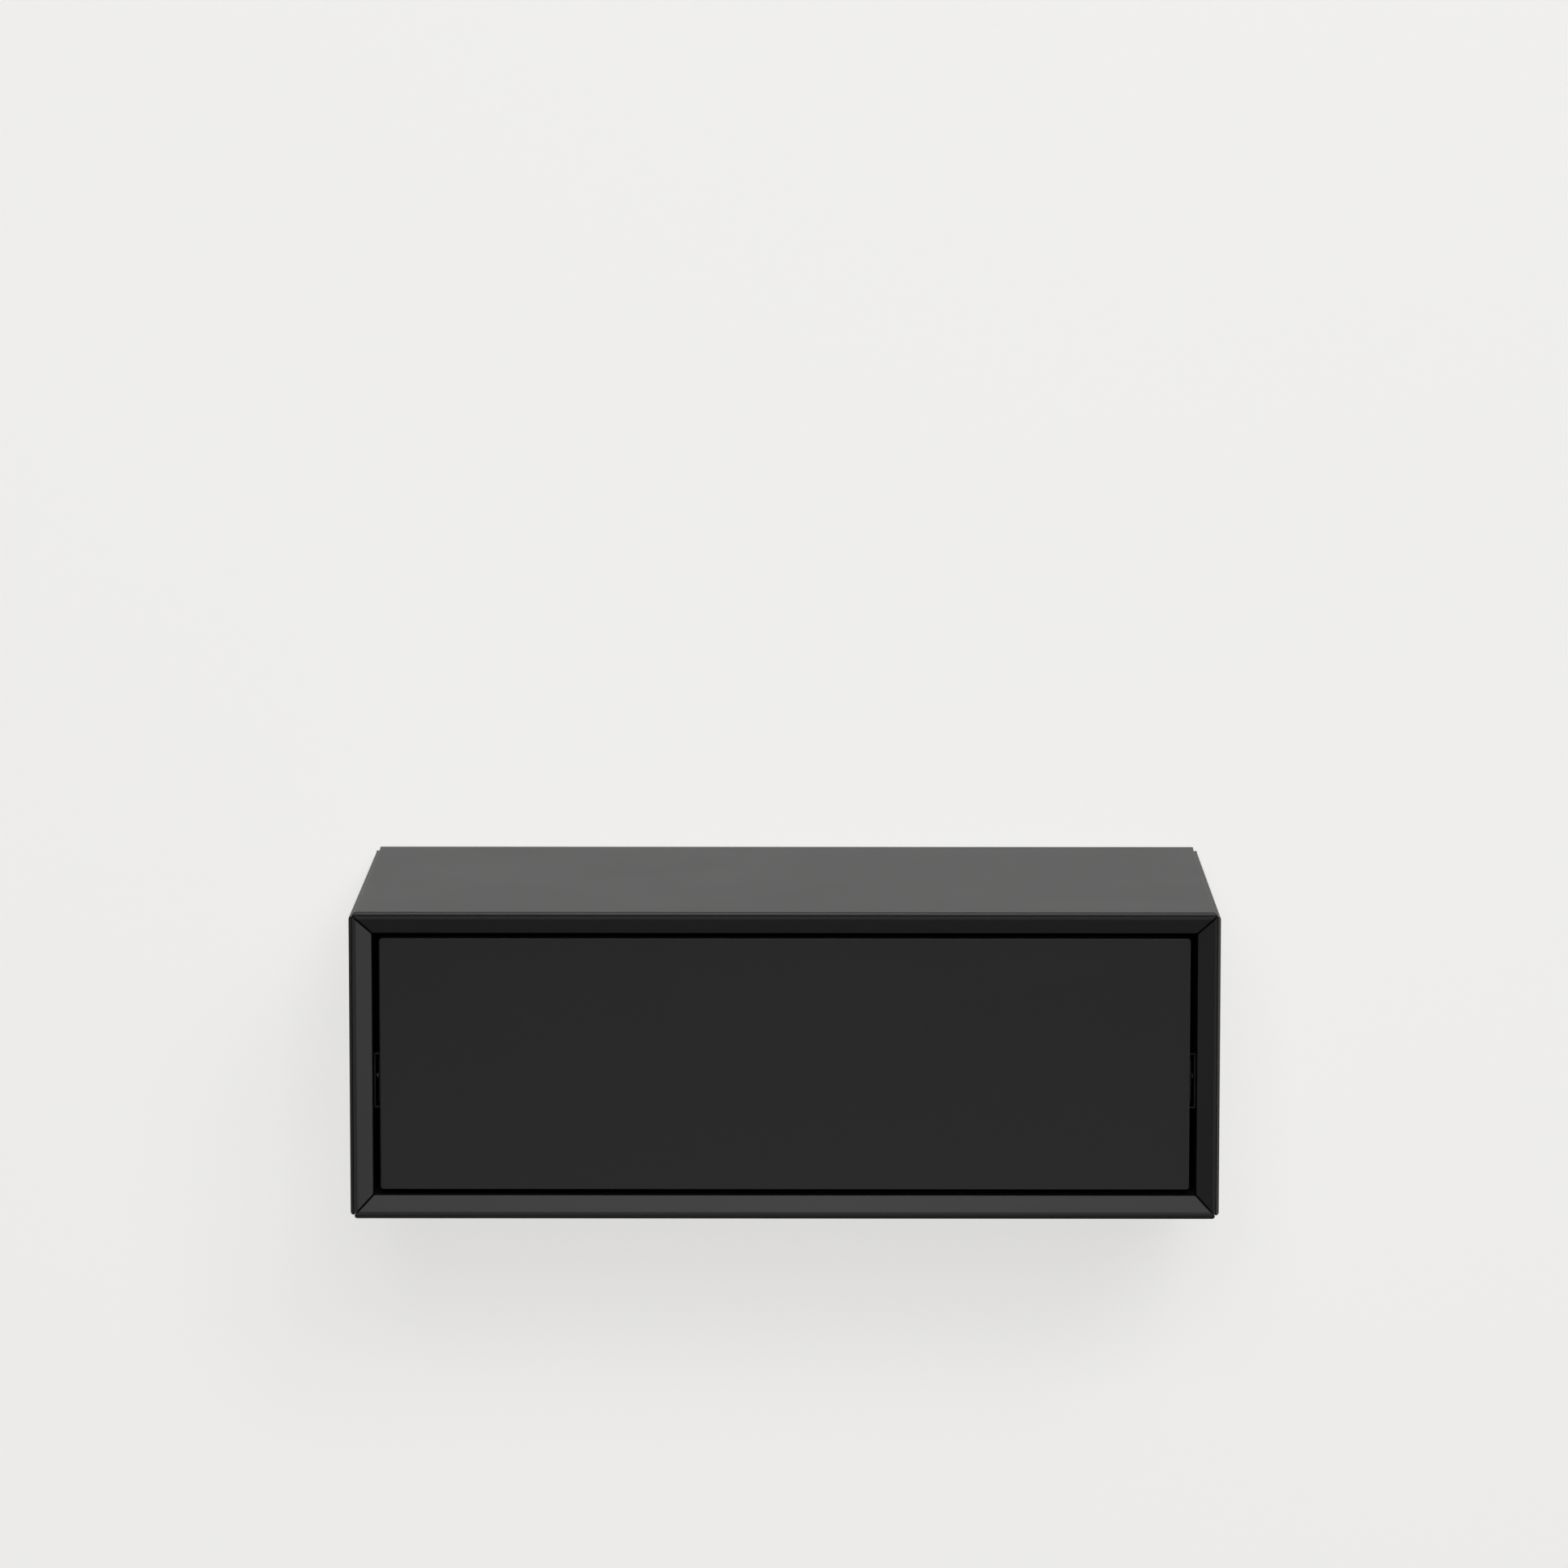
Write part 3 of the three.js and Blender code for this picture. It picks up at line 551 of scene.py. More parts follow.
def sawn(bm, point, direction):
    """Cuts away what lies beyond a plane, on the side that the direction points to, and closes the cut."""
    everything = bm.verts[:] + bm.edges[:] + bm.faces[:]
    cut = bmesh.ops.bisect_plane(
        bm, geom=everything, plane_co=point, plane_no=direction, clear_outer=True
    )
    rim = [item for item in cut["geom_cut"] if isinstance(item, bmesh.types.BMEdge)]
    bmesh.ops.contextual_create(bm, geom=rim)
    bmesh.ops.recalc_face_normals(bm, faces=bm.faces)


# %% Make the boards
MITRE_OFF = MITRE_GAP / math.sqrt(2)


def board_edge_round(edge, long):
    """How much one edge of a board is rounded, from where the edge is and which way it runs."""
    one, other = (vert.co for vert in edge.verts)
    middle, run = (one + other) / 2, other - one
    outside = middle.z < HAIR
    at_the_tip = min(middle.x, long - middle.x) < CORNER_STEP + HAIR
    if abs(run.y) > CASE_DEEP / 2 and outside and at_the_tip:
        return TIP_ROUND
    if abs(run.y) > CASE_DEEP / 2 and middle.z > BOARD - HAIR:
        return INNER_TIP_ROUND
    if abs(run.x) > long / 2 and middle.y < CASE_FRONT + HAIR:
        return ARRIS_ROUND if outside else BEVEL_ROUND
    if min(abs(part) for part in run) > HAIR:
        return MITRE_ROUND
    in_the_step = abs(middle.z - (CORNER_STEP - MITRE_OFF)) < HAIR
    return 0 if in_the_step or edge.calc_face_angle(0) < SHALLOW else SANDED


def mitred_board(name, stands_for, long, turn, place):
    """One board, made along X with its outer face down, then turned about Y and put in its place."""
    bm = extruded([(0, y, inward) for inward, y in BOARD_ACROSS], (long, 0, 0))
    for end, way in ((0, -1), (long, 1)):
        sawn(bm, (end - way * CORNER_STEP, 0, 0), (way, 0, 0))
        sawn(bm, (end - way * MITRE_OFF, 0, 0), (way, 0, 1))
    bm = rounded(bm, lambda edge: board_edge_round(edge, long), EDGE_STEPS)
    in_place = Matrix.Translation(place) @ Matrix.Rotation(turn, 4, "Y")
    bmesh.ops.transform(bm, matrix=in_place, verts=bm.verts)
    finished(name, bm, stands_for)
    print(name, "stands for", stands_for)


quarter = math.pi / 2
mitred_board("bottom_board", "bottom_panel", CASE_WIDE, 0, (-CASE_HALF, 0, bottom_low.z))
mitred_board("top_board", "top_panel", CASE_WIDE, math.pi, (CASE_HALF, 0, top_high.z))
mitred_board("left_board", "left_side_panel", CASE_HIGH, quarter, (-CASE_HALF, 0, top_high.z))
mitred_board("right_board", "right_side_panel", CASE_HIGH, -quarter, (CASE_HALF, 0, bottom_low.z))

# %% [markdown]
# ## The drawer front
# The front is one plain board. It stands a little behind the bevels and leaves an even, dark gap all
# round. Its four corners are softly rounded and its two rims more finely, so the order matters. The four
# short edges at the corners are rounded first, on a plain block, and then both rims in one go. Done the
# other way round, the rims would end in points at the corners.

# %% Make the drawer front
FRONT_CORNER = 2.5 * MM
FRONT_RIM = 1.5 * MM
CORNER_STEPS = 6
RIM_STEPS = 4
ALONG = 0.999


def block(low, high):
    """A plain box between two corners."""
    bm = bmesh.new()
    bmesh.ops.create_cube(bm, size=1)
    size = Matrix.Diagonal((*(Vector(high) - Vector(low)), 1))
    middle = Matrix.Translation((Vector(high) + Vector(low)) / 2)
    bmesh.ops.transform(bm, matrix=middle @ size, verts=bm.verts)
    return bm


def rounded_off(bm, edges, width, steps):
    """Rounds those edges for good, in the mesh itself."""
    bmesh.ops.bevel(
        bm, geom=list(edges), offset=width, segments=steps, profile=0.5, affect="EDGES", material=-1
    )


def runs_along(edge, axis):
    """Whether an edge runs along that axis: 0 for X, 1 for Y, 2 for Z."""
    run = (edge.verts[1].co - edge.verts[0].co).normalized()
    return abs(run[axis]) > ALONG


front = block(front_low, front_high)
upright = [edge for edge in front.edges if runs_along(edge, 1)]
rounded_off(front, upright, FRONT_CORNER, CORNER_STEPS)
rims = [edge for edge in front.edges if not runs_along(edge, 1)]
rounded_off(front, rims, FRONT_RIM, RIM_STEPS)
print("drawer front", len(front.faces), "faces")
finished("drawer_front_board", front, "drawer_front")

# %% [markdown]
# ## Copies with eased edges
# The drawer box, the rail, the hooks and the strikers have the right shape in the frame already, screw
# holes and all, but every edge is sharp and every face is cut into loose triangles. Drawing them again
# would risk a hole in the wrong place. So each is copied: the doubled vertices are merged, flat triangles
# are dissolved into whole faces, and the edges get their roundings. A board is only sanded. Folded steel
# has a tight radius inside a bend, that radius and the steel's thickness outside it, and a small burr-free
# edge where it was sheared, and a rule can tell the three apart by how wide the faces beside an edge are.

# %% Tools: a merged copy, a sanded edge, a folded edge
SAME_POINT = 0.002 * MM
FLAT_WITHIN = math.radians(1)
SHEARED = 0.12 * MM
BEND_INSIDE = 0.4 * MM
EDGE_OF_STRIP = 1.2


def copy_of(node):
    """A copy of a solid's mesh, merged, with its flat faces whole."""
    bm = bmesh.new()
    bm.from_mesh(frame["nodes"][node].data)
    bmesh.ops.remove_doubles(bm, verts=bm.verts, dist=SAME_POINT)
    bmesh.ops.dissolve_limit(bm, angle_limit=FLAT_WITHIN, verts=bm.verts, edges=bm.edges)
    return bm


def sanded(width, longer_than):
    """A rule: every long edge loses that width."""

    def rule(edge):
        is_long = edge.calc_length() > longer_than
        return width if is_long and edge.calc_face_angle(0) > SHARP else 0

    return rule


def folded(steel, along):
    """A rule for sheet steel of that thickness, whose bends all run along one axis."""

    def rule(edge):
        long = edge.calc_length()
        if edge.calc_face_angle(0) < SHARP or long < steel:
            return 0
        narrowest = min(face.calc_area() for face in edge.link_faces) / long
        if not runs_along(edge, along) or narrowest < EDGE_OF_STRIP * steel:
            return SHEARED
        return steel + BEND_INSIDE if edge.is_convex else BEND_INSIDE

    return rule


# %% Make the drawer box
BOX_EDGE = 0.5 * MM
LONG_EDGE = 8 * MM
for board in ("left_side", "right_side", "inner_front", "back"):
    node = "drawer_" + board
    finished("box_" + board, rounded(copy_of(node), sanded(BOX_EDGE, LONG_EDGE)), node)

# %% [markdown]
# ## What stays as it is
# The back panel, the drawer's bottom and the tongues in the mitres are plain boards whose edges sit in
# grooves. Their solids are right as they stand, so they only get their finish, in their own material slots.

# %% Paint the plain boards
tongues = [name for name in frame["nodes"] if name.startswith("mitre_tongue")]
for node in ["back_panel", "drawer_bottom", *tongues]:
    mesh = frame["nodes"][node].data
    mesh.materials.clear()
    mesh.materials.append(finishes[slot_of[node]])
print("painted as they are", ["back_panel", "drawer_bottom", *tongues])

# %% [markdown]
# ## The steel that the unit hangs on
# A folded rail is screwed to the wall through four long slots, and a hook at each side of the case drops
# over its lip. Both are 2 mm sheet, folded in a press.

# %% Make the rail and the hooks
RAIL_STEEL = 2 * MM
HANDS = ("left", "right")
rail = rounded(copy_of("wall_rail"), folded(RAIL_STEEL, 0))
finished("hanging_rail", rail, "wall_rail", material=zinc_across)
for hand in HANDS:
    node = hand + "_hanging_hook"
    hook = rounded(copy_of(node), folded(RAIL_STEEL, 0))
    finished(hand + "_hook", hook, node, material=zinc_across)

# %% [markdown]
# ## Turning and drilling
# Screws, plungers and drills are all lathe work: a profile of radii and heights, spun about an axis. The
# spin leaves a doubled seam and doubled poles, so the doubles are merged before the normals are worked
# out. Piece and drill are turned about Z and then pointed the way they go.


# %% Tools: turned, pointing, drill
FINE = 32
OVERRUN = 2 * MM


def turned(profile, steps, place):
    """A piece turned on a lathe about Z, from points of (radius, height), moved by a matrix."""
    bm = bmesh.new()
    points = [bm.verts.new((radius, 0, up)) for radius, up in profile]
    chain = [bm.edges.new(pair) for pair in zip(points, points[1:])]
    bmesh.ops.spin(
        bm, geom=points + chain, axis=(0, 0, 1), cent=(0, 0, 0), angle=2 * math.pi, steps=steps,
        use_merge=True,
    )
    bmesh.ops.remove_doubles(bm, verts=bm.verts, dist=SAME_POINT)
    bmesh.ops.recalc_face_normals(bm, faces=bm.faces)
    bmesh.ops.transform(bm, matrix=place, verts=bm.verts)
    return bm


def pointing(way, place):
    """The matrix that turns Z to point a way and moves the origin to a place."""
    turn = Vector((0, 0, 1)).rotation_difference(Vector(way)).to_matrix().to_4x4()
    return Matrix.Translation(place) @ turn


def drill(radius, start, way, long):
    """A round cutter from a point, that way, that long."""
    return turned([(0, 0), (radius, 0), (radius, long), (0, long)], FINE, pointing(way, start))


# %% [markdown]
# ## The runners
# Each side has a full-extension runner: a cabinet member on the case, a drawer member on the box, and a
# middle member that travels at half the drawer's speed between them. They are rolled from 1.2 mm strip.
# Their sections nest, and the rolled lips turn in to hold the balls. A copy of the solid could be rounded,
# but the screw holes get in the way of the long bends, so the members are made as the mill makes them: the
# strip is shaped first, from a section drawn round the solid's box, and punched afterwards. Besides the
# screw holes, the mill punches oval slots along the two outer members, which let a fitter shift the runner
# a little.

# %% Make the runner members
RUNNER_STEEL = 1.2 * MM
RUNNER_LIP = {"cabinet": 1.7 * MM, "middle": 1.7 * MM, "drawer": 0}
SCREW_CLEAR = 2.1 * MM
PUNCH_REACH = 10 * MM
SLOT_ROUND = 2.2 * MM
SLOT_END = 0.98 * SLOT_ROUND
SLOT_HALF = 7 * MM
SLOT_SHARES = {"cabinet": (0.3, 0.5, 0.7), "middle": (), "drawer": (0.32, 0.5, 0.68)}


def channel(node, outward, lip):
    """A channel that fills its solid's box, with its web against the board it is screwed to."""
    low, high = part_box(node)
    web_out = "drawer" not in node
    web, end = (high.x, low.x) if (outward > 0) == web_out else (low.x, high.x)
    steel = math.copysign(RUNNER_STEEL, end - web)
    middle, tall = (high.z + low.z) / 2, (high.z - low.z) / 2
    inside = tall - RUNNER_STEEL
    half = [(web, tall), (end, tall), (end, inside - lip), (end - steel, inside - lip),
            (end - steel, inside), (web + steel, inside)]
    if not lip:
        half = [(web, tall), (end, tall), (end, inside), (web + steel, inside)]
    section = half + [(x, -up) for x, up in reversed(half)]
    return extruded([(x, low.y, middle + up) for x, up in section], (0, high.y - low.y, 0))


def oval(middle):
    """A cutter for an oval slot along Y, through a web that faces X."""
    reach = Vector((OVERRUN, SLOT_HALF, SLOT_ROUND))
    bm = block(middle - reach, middle + reach)
    ends = [edge for edge in bm.edges if runs_along(edge, 0)]
    rounded_off(bm, ends, SLOT_END, CORNER_STEPS)
    return bm


def runner_member(hand, member):
    """One length of strip, rolled to its section and punched."""
    node = f"{hand}_runner_{member}_member"
    low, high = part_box(node)
    outward = -1 if hand == "left" else 1
    bm = rounded(channel(node, outward, RUNNER_LIP[member]), folded(RUNNER_STEEL, 1), steps=4)
    cutters = []
    for name in frame["nodes"]:
        if name.startswith(f"{hand}_runner_{member}_screw"):
            seat = sum(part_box(name), Vector()) / 2
            start = seat - Vector((PUNCH_REACH, 0, 0))
            cutters.append(drill(SCREW_CLEAR, start, (1, 0, 0), 2 * PUNCH_REACH))
    web = high.x if (outward > 0) == (member != "drawer") else low.x
    for share in SLOT_SHARES[member]:
        middle = Vector((web, low.y + share * (high.y - low.y), (low.z + high.z) / 2))
        cutters.append(oval(middle))
    bm = carved(bm, cutters) if cutters else bm
    # The runner members get the near-black zinc: painted shade for the gap round the drawer front.
    finished(f"{hand}_{member}_member", bm, node, material=zinc_painted_shade)


for hand in HANDS:
    for member in RUNNER_LIP:
        runner_member(hand, member)
print("runner members", 2 * len(RUNNER_LIP))

# %% [markdown]
# ## The ball cages
# Between two members run two rows of steel balls, and a pressed strip keeps them apart. The solid has
# coarse balls, so the cage is made again: the strip is a thin channel, extruded from its section, and each
# ball is a true sphere that the strip's flange grips round its waist. The strip's place and the balls'
# come from the solid's box, whose far side is where the balls end.

# %% Make the ball cages
CAGE_STEEL = 0.5 * MM
BALLS_IN_ROW = 6
BALL_PITCH = 20 * MM
BALL_RADIUS = {"outer": 1.8 * MM, "inner": 1.5 * MM}
BALL_AROUND = 16
BALL_UP = 10


def ball_cage(hand, which):
    """A strip with two rows of balls, in the space that its solid fills."""
    node = f"{hand}_{which}_ball_cage"
    low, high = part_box(node)
    radius = BALL_RADIUS[which]
    outward = -1 if hand == "left" else 1
    web = low.x if hand == "left" else high.x
    ball_x = (high.x if hand == "left" else low.x) + outward * radius
    middle = (low + high) / 2
    ball_up = high.z - radius - middle.z
    flange_end = ball_x - outward * radius / 2
    over, under = ball_up + CAGE_STEEL / 2, ball_up - CAGE_STEEL / 2
    half = [(web, over), (flange_end, over), (flange_end, under), (web - outward * CAGE_STEEL, under)]
    section = half + [(x, -up) for x, up in reversed(half)]
    bm = extruded([(x, low.y, middle.z + up) for x, up in section], (0, high.y - low.y, 0))
    for row in (-1, 1):
        for number in range(BALLS_IN_ROW):
            along = middle.y + (number - (BALLS_IN_ROW - 1) / 2) * BALL_PITCH
            place = Matrix.Translation((ball_x, along, middle.z + row * ball_up))
            bmesh.ops.create_uvsphere(
                bm, u_segments=BALL_AROUND, v_segments=BALL_UP, radius=radius, matrix=place
            )
    finished(f"{hand}_{which}_balls", bm, node)


for hand in HANDS:
    for which in BALL_RADIUS:
        ball_cage(hand, which)
print("balls", 2 * len(BALL_RADIUS) * 2 * BALLS_IN_ROW)

# %% [markdown]
# ## The push latches
# A latch is a nylon block with an ear on each side for its screws, and a bore for the plunger. The block
# and the ears are rounded on their own, joined, and then bored, as the mould makes them.

# %% Make the latch housings
EAR_REACH = 10 * MM
EAR_LONG = 16 * MM
EAR_HIGH = 3 * MM
EAR_ROUND = 3.5 * MM
HOUSING_ROUND = 1 * MM
HOUSING_STEPS = 3
BORE = 4.3 * MM
NECK_BORE = 3.3 * MM
NECK_LONG = 3 * MM
LATCH_SCREW_HOLE = 1.8 * MM


def latch_housing(hand):
    """A rounded block with two ears, bored for its plunger and drilled for its screws."""
    low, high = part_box(hand + "_latch_housing")
    middle = (low + high) / 2
    axis_up = sum(corner.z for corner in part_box(hand + "_latch_plunger")) / 2
    body = block((low.x + EAR_REACH, low.y, low.z), (high.x - EAR_REACH, high.y, high.z))
    off_the_floor = [
        edge for edge in body.edges if any(vert.co.z > middle.z for vert in edge.verts)
    ]
    rounded_off(body, off_the_floor, HOUSING_ROUND, HOUSING_STEPS)
    ears = block(
        (low.x, middle.y - EAR_LONG / 2, low.z), (high.x, middle.y + EAR_LONG / 2, low.z + EAR_HIGH)
    )
    ear_corners = [edge for edge in ears.edges if runs_along(edge, 2)]
    rounded_off(ears, ear_corners, EAR_ROUND, CORNER_STEPS)
    whole = carved(body, [ears], "UNION")
    cutters = [
        drill(BORE, (middle.x, low.y + NECK_LONG, axis_up), (0, 1, 0), high.y - low.y),
        drill(NECK_BORE, (middle.x, low.y - OVERRUN, axis_up), (0, 1, 0), NECK_LONG + 2 * OVERRUN),
    ]
    for end, way in ((low.x, 1), (high.x, -1)):
        above = (end + way * EAR_REACH / 2, middle.y, low.z + EAR_HIGH + OVERRUN)
        cutters.append(drill(LATCH_SCREW_HOLE, above, (0, 0, -1), EAR_HIGH + 2 * OVERRUN))
    finished(hand + "_latch_body", carved(whole, cutters), hand + "_latch_housing")


for hand in HANDS:
    latch_housing(hand)

# %% [markdown]
# ## Plungers and end caps
# The plunger is turned from one profile: a domed nose that meets the striker, a slim stem, a collar that
# fits the bore, and a pilot that enters the spring and keeps it central when the plunger is pushed in. The
# cap that shuts the housing's back is a short turned plug with a screwdriver slot.

# %% Make the plungers and the caps
NOSE = 4 * MM
NOSE_LONG = 1.5 * MM
NOSE_ROUND = 0.6 * MM
STEM = 3 * MM
COLLAR_LONG = 4 * MM
PILOT = 2.6 * MM
PILOT_LONG = 3.2 * MM
CHAMFER = 0.4 * MM
CAP_SLOT = 1 * MM


def plunger(hand):
    """A nose, a stem, a collar and a pilot, turned in one go."""
    low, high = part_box(hand + "_latch_plunger")
    long = high.y - low.y
    shoulder = long - PILOT_LONG
    collar = shoulder - COLLAR_LONG
    profile = [
        (0, 0), (NOSE - NOSE_ROUND, 0), (NOSE - NOSE_ROUND / 3, NOSE_ROUND / 3), (NOSE, NOSE_ROUND),
        (NOSE, NOSE_LONG), (STEM, NOSE_LONG), (STEM, collar), (NOSE, collar),
        (NOSE, shoulder - CHAMFER), (NOSE - CHAMFER, shoulder), (PILOT, shoulder),
        (PILOT, long - CHAMFER), (PILOT - CHAMFER, long), (0, long),
    ]
    tip = ((low.x + high.x) / 2, low.y, (low.z + high.z) / 2)
    bm = turned(profile, FINE, pointing((0, 1, 0), tip))
    finished(hand + "_plunger", bm, hand + "_latch_plunger")


def end_cap(hand):
    """A short turned plug with a slot across its outer end."""
    low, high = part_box(hand + "_latch_end_cap")
    middle = (low + high) / 2
    long = high.y - low.y
    profile = [(0, 0), (NOSE, 0), (NOSE, long - CHAMFER), (NOSE - CHAMFER, long), (0, long)]
    cap = turned(profile, FINE, pointing((0, 1, 0), (middle.x, low.y, middle.z)))
    slot = block(
        (low.x - OVERRUN, high.y - CAP_SLOT, middle.z - CAP_SLOT / 2),
        (high.x + OVERRUN, high.y + OVERRUN, middle.z + CAP_SLOT / 2),
    )
    finished(hand + "_end_cap", carved(cap, [slot]), hand + "_latch_end_cap")


for hand in HANDS:
    plunger(hand)
    end_cap(hand)
print("plungers and caps made")

# %% [markdown]
# ## The springs
# A spring could be a curve with a round bevel. Here it is a wire's round section, spun about the plunger's
# axis while it moves along it, because a spin can change its pitch on the way. It goes in three runs: a
# closed turn at each end, where the spring sits, and open turns between them.

# %% Make the springs
WIRE = 0.4 * MM
WIRE_SIDES = 8
TURN_STEPS = 20
OPEN_TURNS = 5


def spring(hand):
    """A coil of round wire with a closed turn at each end."""
    low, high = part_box(hand + "_latch_spring")
    middle = (low + high) / 2
    coil = (high.z - low.z) / 2 - WIRE
    closed = 2 * WIRE
    start = Matrix.Translation((middle.x + coil, low.y + WIRE, middle.z))
    bm = bmesh.new()
    ring = bmesh.ops.create_circle(bm, segments=WIRE_SIDES, radius=WIRE, cap_ends=True, matrix=start)
    last = ring["verts"]
    open_run = high.y - low.y - 2 * WIRE - 2 * closed
    for turns, rise in ((1, closed), (OPEN_TURNS, open_run), (1, closed)):
        edges = {edge for vert in last for edge in vert.link_edges if all(v in last for v in edge.verts)}
        steps = turns * TURN_STEPS
        spun = bmesh.ops.spin(
            bm, geom=list(edges), axis=(0, 1, 0), cent=middle, dvec=(0, rise / steps, 0),
            angle=2 * math.pi * turns, steps=steps,
        )
        last = [item for item in spun["geom_last"] if isinstance(item, bmesh.types.BMVert)]
    bmesh.ops.contextual_create(bm, geom=[edge for edge in bm.edges if edge.is_boundary])
    bmesh.ops.recalc_face_normals(bm, faces=bm.faces)
    finished(hand + "_spring", bm, hand + "_latch_spring")


for hand in HANDS:
    spring(hand)
print("springs of", OPEN_TURNS + 2, "turns")

# %% [markdown]
# ## The strikers
# Under the drawer, a small folded plate meets each plunger's nose. It is a copy with eased edges again.

# %% Make the strikers
STRIKER_STEEL = 1.5 * MM
for hand in HANDS:
    node = hand + "_latch_striker"
    finished(hand + "_striker", rounded(copy_of(node), folded(STRIKER_STEEL, 0)), node)

# %% [markdown]
# ## The screws
# There are twenty-two screws in six sizes, all with a domed pan head and a cross recess. A screw is turned
# from its profile, and its cross is cut with two wedges. The solid tells where it goes: it is longest along
# its axis, and its wide end is the head. Each one stands at its own angle, because nobody lines up screws.

# %% Make the screws
SCREW_STEPS = 24
SCREW_SIZES = {
    "runner_cabinet_screw": (1.1 * MM, 1.8 * MM),
    "runner_drawer_screw": (1.5 * MM, 1.6 * MM),
    "drawer_front_screw": (1.8 * MM, 2.0 * MM),
    "latch_screw": (1.6 * MM, 1.5 * MM),
    "hook_screw": (1.5 * MM, 1.8 * MM),
    "latch_striker_screw": (1.2 * MM, 1.4 * MM),
}
NEXT_TURN = 0.9
HEAD_DOME = ((1.0, 0.0), (1.0, 0.3), (0.94, 0.6), (0.82, 0.84), (0.6, 0.96), (0.0, 1.0))
END_BAND = 0.1 * MM
CROSS_REACH = 0.55
CROSS_HALF = 0.13
CROSS_FLOOR = 0.25
CROSS_TAPER = (0.5, 0.7, 1)
TIP_SHARE = 0.6


def screw_seat(node, rise):
    """Which way a screw's head faces, and the middle of the seat under it."""
    low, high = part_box(node)
    size, middle = high - low, (low + high) / 2
    axis = max(range(3), key=lambda number: size[number])

    def breadth(end):
        points = [vert.co for vert in frame["nodes"][node].data.vertices]
        near = [point - middle for point in points if abs(point[axis] - end) < END_BAND]
        return max(sum(away[i] ** 2 for i in range(3) if i != axis) for away in near)

    sign = 1 if breadth(high[axis]) > breadth(low[axis]) else -1
    way = Vector([sign if number == axis else 0 for number in range(3)])
    top = middle + way * size[axis] / 2
    return way, top - way * rise, size[axis] - rise, max(size[i] for i in range(3) if i != axis) / 2


def cross_recess(head, rise):
    """Two wedges that cut the cross."""
    wedges = []
    reach = Vector((CROSS_REACH * head, CROSS_HALF * head, 0))
    for turn in (0, quarter):
        wedge = block(Vector((0, 0, CROSS_FLOOR * rise)) - reach, Vector((0, 0, 2 * rise)) + reach)
        lower = [vert for vert in wedge.verts if vert.co.z < rise]
        bmesh.ops.scale(wedge, vec=CROSS_TAPER, verts=lower)
        bmesh.ops.rotate(wedge, matrix=Matrix.Rotation(turn, 3, "Z"), verts=wedge.verts)
        wedges.append(wedge)
    return wedges


def pan_head_screw(node, rise, shank, turn):
    """One screw, cut and turned to its own angle, in its solid's place."""
    way, seat, long, head = screw_seat(node, rise)
    tip = [(0, -long), (shank * TIP_SHARE, shank - long), (shank, 2 * shank - long), (shank, 0)]
    profile = tip + [(head * share, rise * up) for share, up in HEAD_DOME]
    bm = carved(turned(profile, SCREW_STEPS, Matrix.Identity(4)), cross_recess(head, rise))
    place = pointing(way, seat) @ Matrix.Rotation(turn, 4, "Z")
    bmesh.ops.transform(bm, matrix=place, verts=bm.verts)
    finished(node + "_turned", bm, node)


screws = sorted(name for name in frame["nodes"] if "screw" in name)
for number, node in enumerate(screws):
    kind = next(kind for kind in SCREW_SIZES if kind in node)
    pan_head_screw(node, *SCREW_SIZES[kind], number * NEXT_TURN)
print("screws", len(screws))

# %% [markdown]
# ## The wall and the floor
# The unit hangs on a pale wall, and a pale floor lies well below it. They only serve the view. Each is
# painted on its face alone and is clear from behind and to the lamps, so that a view from the back or from
# below sees the unit through it. A few lamps would leave patches on the wall, so the paint also glows a
# little: most of its tone is even, and the lamps only draw the unit's shadow.
# The floor is there to be looked at and sends no light back, because its bounce would stain the wall above
# the unit.

# %% The room's paint
PALE = (0.80, 0.795, 0.785)
PALE_WARM = (0.81, 0.80, 0.785)
GLOW = (1.0, 0.995, 0.985, 1.0)
GLOW_STRENGTH = 0.68
PAINT_CLOUD = 0.6
ROLLER_GRAIN = 4 * MM

paint = Finish("room_paint", specular=0.1)
paint.colour(paint.coloured(paint.noise(PAINT_CLOUD, detail=3), (0.3, PALE), (0.7, PALE_WARM)))
paint.roughness(paint.ranged(paint.noise(ROLLER_GRAIN), 0.85, 0.95))
paint.shader.inputs["Emission Color"].default_value = GLOW
paint.shader.inputs["Emission Strength"].default_value = GLOW_STRENGTH
clear = paint.add("ShaderNodeBsdfTransparent").outputs["BSDF"]
behind = paint.add("ShaderNodeNewGeometry").outputs["Backfacing"]
shadow_ray = paint.add("ShaderNodeLightPath").outputs["Is Shadow Ray"]
either = paint.add("ShaderNodeMixShader")
paint.link(paint.worked(behind, shadow_ray, "MAXIMUM"), either.inputs["Fac"])
paint.link(paint.shader.outputs["BSDF"], either.inputs[1])
paint.link(clear, either.inputs[2])
paint.link(either.outputs["Shader"], paint.tree.nodes["Material Output"].inputs["Surface"])
print("room paint", len(paint.tree.nodes), "nodes")

# %% Make the wall and the floor
WALL_BEHIND = 1 * MM
FLOOR_BELOW = 450 * MM
ROOM_HALF = 5.0


def room_side(name, place, turn):
    """A large square of wall or floor whose painted face looks up before it is turned about X."""
    bm = bmesh.new()
    bmesh.ops.create_grid(bm, x_segments=1, y_segments=1, size=ROOM_HALF)
    matrix = Matrix.Translation(place) @ Matrix.Rotation(turn, 4, "X")
    bmesh.ops.transform(bm, matrix=matrix, verts=bm.verts)
    mesh = bpy.data.meshes.new(name)
    bm.to_mesh(mesh)
    bm.free()
    mesh.materials.append(paint.material)
    side = bpy.data.objects.new(name, mesh)
    bpy.context.scene.collection.objects.link(side)
    return side


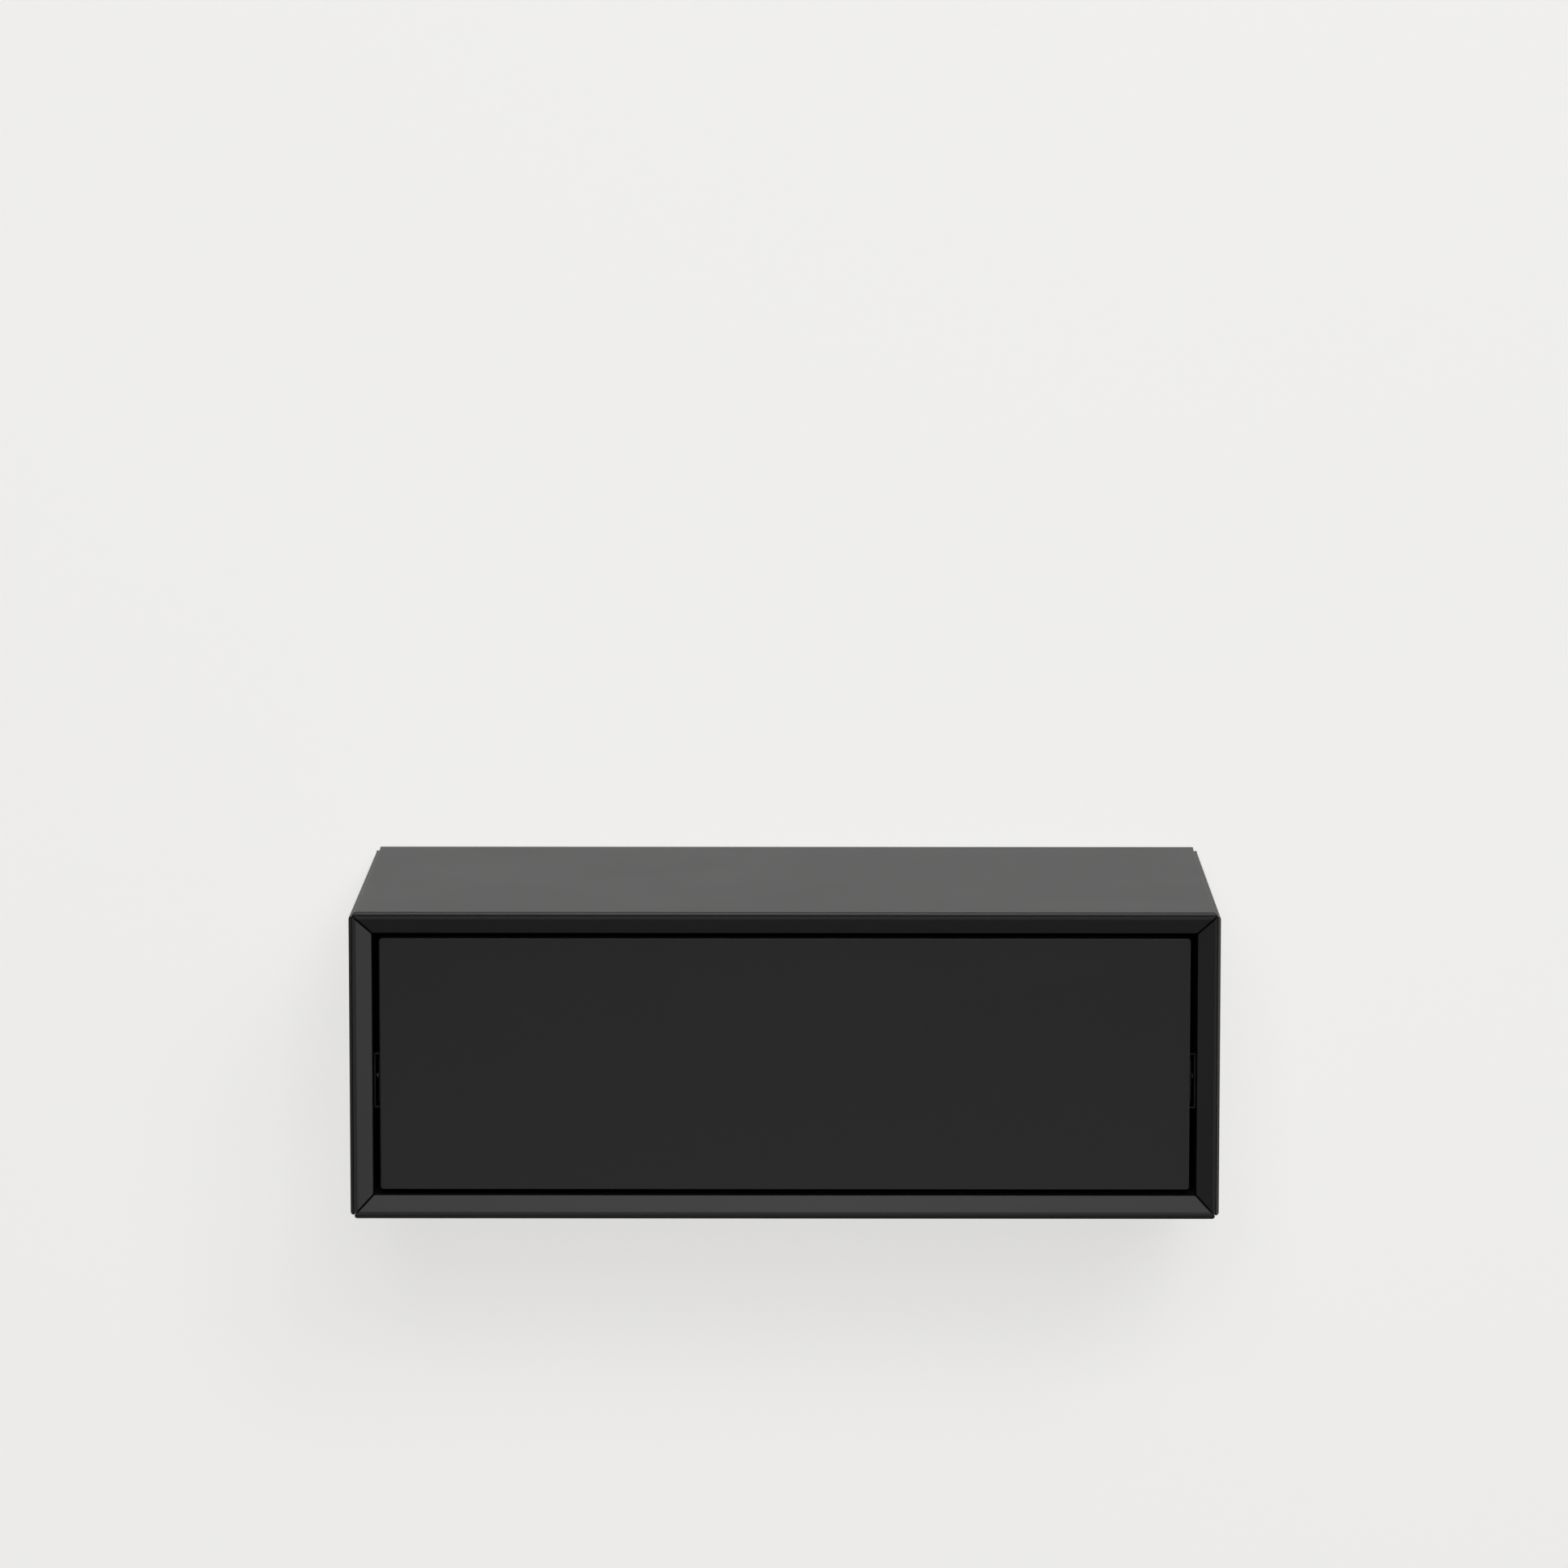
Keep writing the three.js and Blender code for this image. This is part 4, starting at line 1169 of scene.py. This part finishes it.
floor_height = bottom_low.z - FLOOR_BELOW
room_side("wall", (0, WALL_BEHIND, floor_height + ROOM_HALF), quarter)
floor = room_side("floor", (0, WALL_BEHIND - ROOM_HALF, floor_height), 0)
floor.visible_diffuse = False
floor.visible_glossy = False
print("floor at", floor_height)

# %% [markdown]
# ## The lamps
# Black lacquer shows its shape by what it mirrors, so each lamp has one job. The key lamp, high and a
# little to the right, and a larger one in front draw the shadow below and to the left of the unit. Four
# more only make gleams: one overhead for the bevel below the drawer, one at each side for the upright
# bevels, and a large low one for the drawer front and the upper bevel. They are seen only as mirrored
# light, and leave the wall alone. Two lamps behind the wall and a breath of light from all round serve the
# views from the side and the back.

# %% Set up the lamps
AIM = Vector((0, -0.2, -0.07))


def lamp(name, around, above, far, wide, watts, gleam_only=False):
    """A soft square of light that looks at the unit, placed by two angles in degrees and a distance."""
    around, above = math.radians(around), math.radians(above)
    data = bpy.data.lights.new(name, "AREA")
    data.shape = "SQUARE"
    data.size = wide
    data.energy = watts
    light = bpy.data.objects.new(name, data)
    away = Vector((
        math.sin(around) * math.cos(above), -math.cos(around) * math.cos(above), math.sin(above)
    ))
    light.location = AIM + far * away
    light.rotation_euler = away.to_track_quat("Z", "Y").to_euler()
    light.visible_diffuse = not gleam_only
    bpy.context.scene.collection.objects.link(light)


lamp("key", around=16, above=28, far=6.0, wide=1.8, watts=29)
lamp("front", around=0, above=20, far=7.5, wide=2.4, watts=78)
lamp("overhead_gleam", around=0, above=65, far=3.5, wide=1.3, watts=108, gleam_only=True)
lamp("right_gleam", around=63, above=-6, far=3.5, wide=1.3, watts=52, gleam_only=True)
lamp("left_gleam", around=-63, above=-6, far=3.5, wide=1.3, watts=12, gleam_only=True)
lamp("low_gleam", around=0, above=-32, far=3.0, wide=3.0, watts=47, gleam_only=True)
lamp("rear_left", around=-125, above=-18, far=3.0, wide=1.8, watts=15)
lamp("rear_right", around=125, above=-18, far=3.0, wide=1.8, watts=15)

# %% The light all round
ROOM_LIGHT = 0.02
ROOM_SEEN = 0.75
world = bpy.data.worlds.new("room_light")
bpy.context.scene.world = world
world.use_nodes = True
world_nodes, world_links = world.node_tree.nodes, world.node_tree.links
seen = world_nodes.new("ShaderNodeLightPath").outputs["Is Camera Ray"]
strength = world_nodes.new("ShaderNodeMapRange")
strength.inputs["To Min"].default_value = ROOM_LIGHT
strength.inputs["To Max"].default_value = ROOM_SEEN
world_nodes["Background"].inputs["Color"].default_value = GLOW
world_links.new(seen, strength.inputs["Value"])
world_links.new(strength.outputs["Result"], world_nodes["Background"].inputs["Strength"])
print("room light", ROOM_LIGHT, "seen as", ROOM_SEEN)

# %% [markdown]
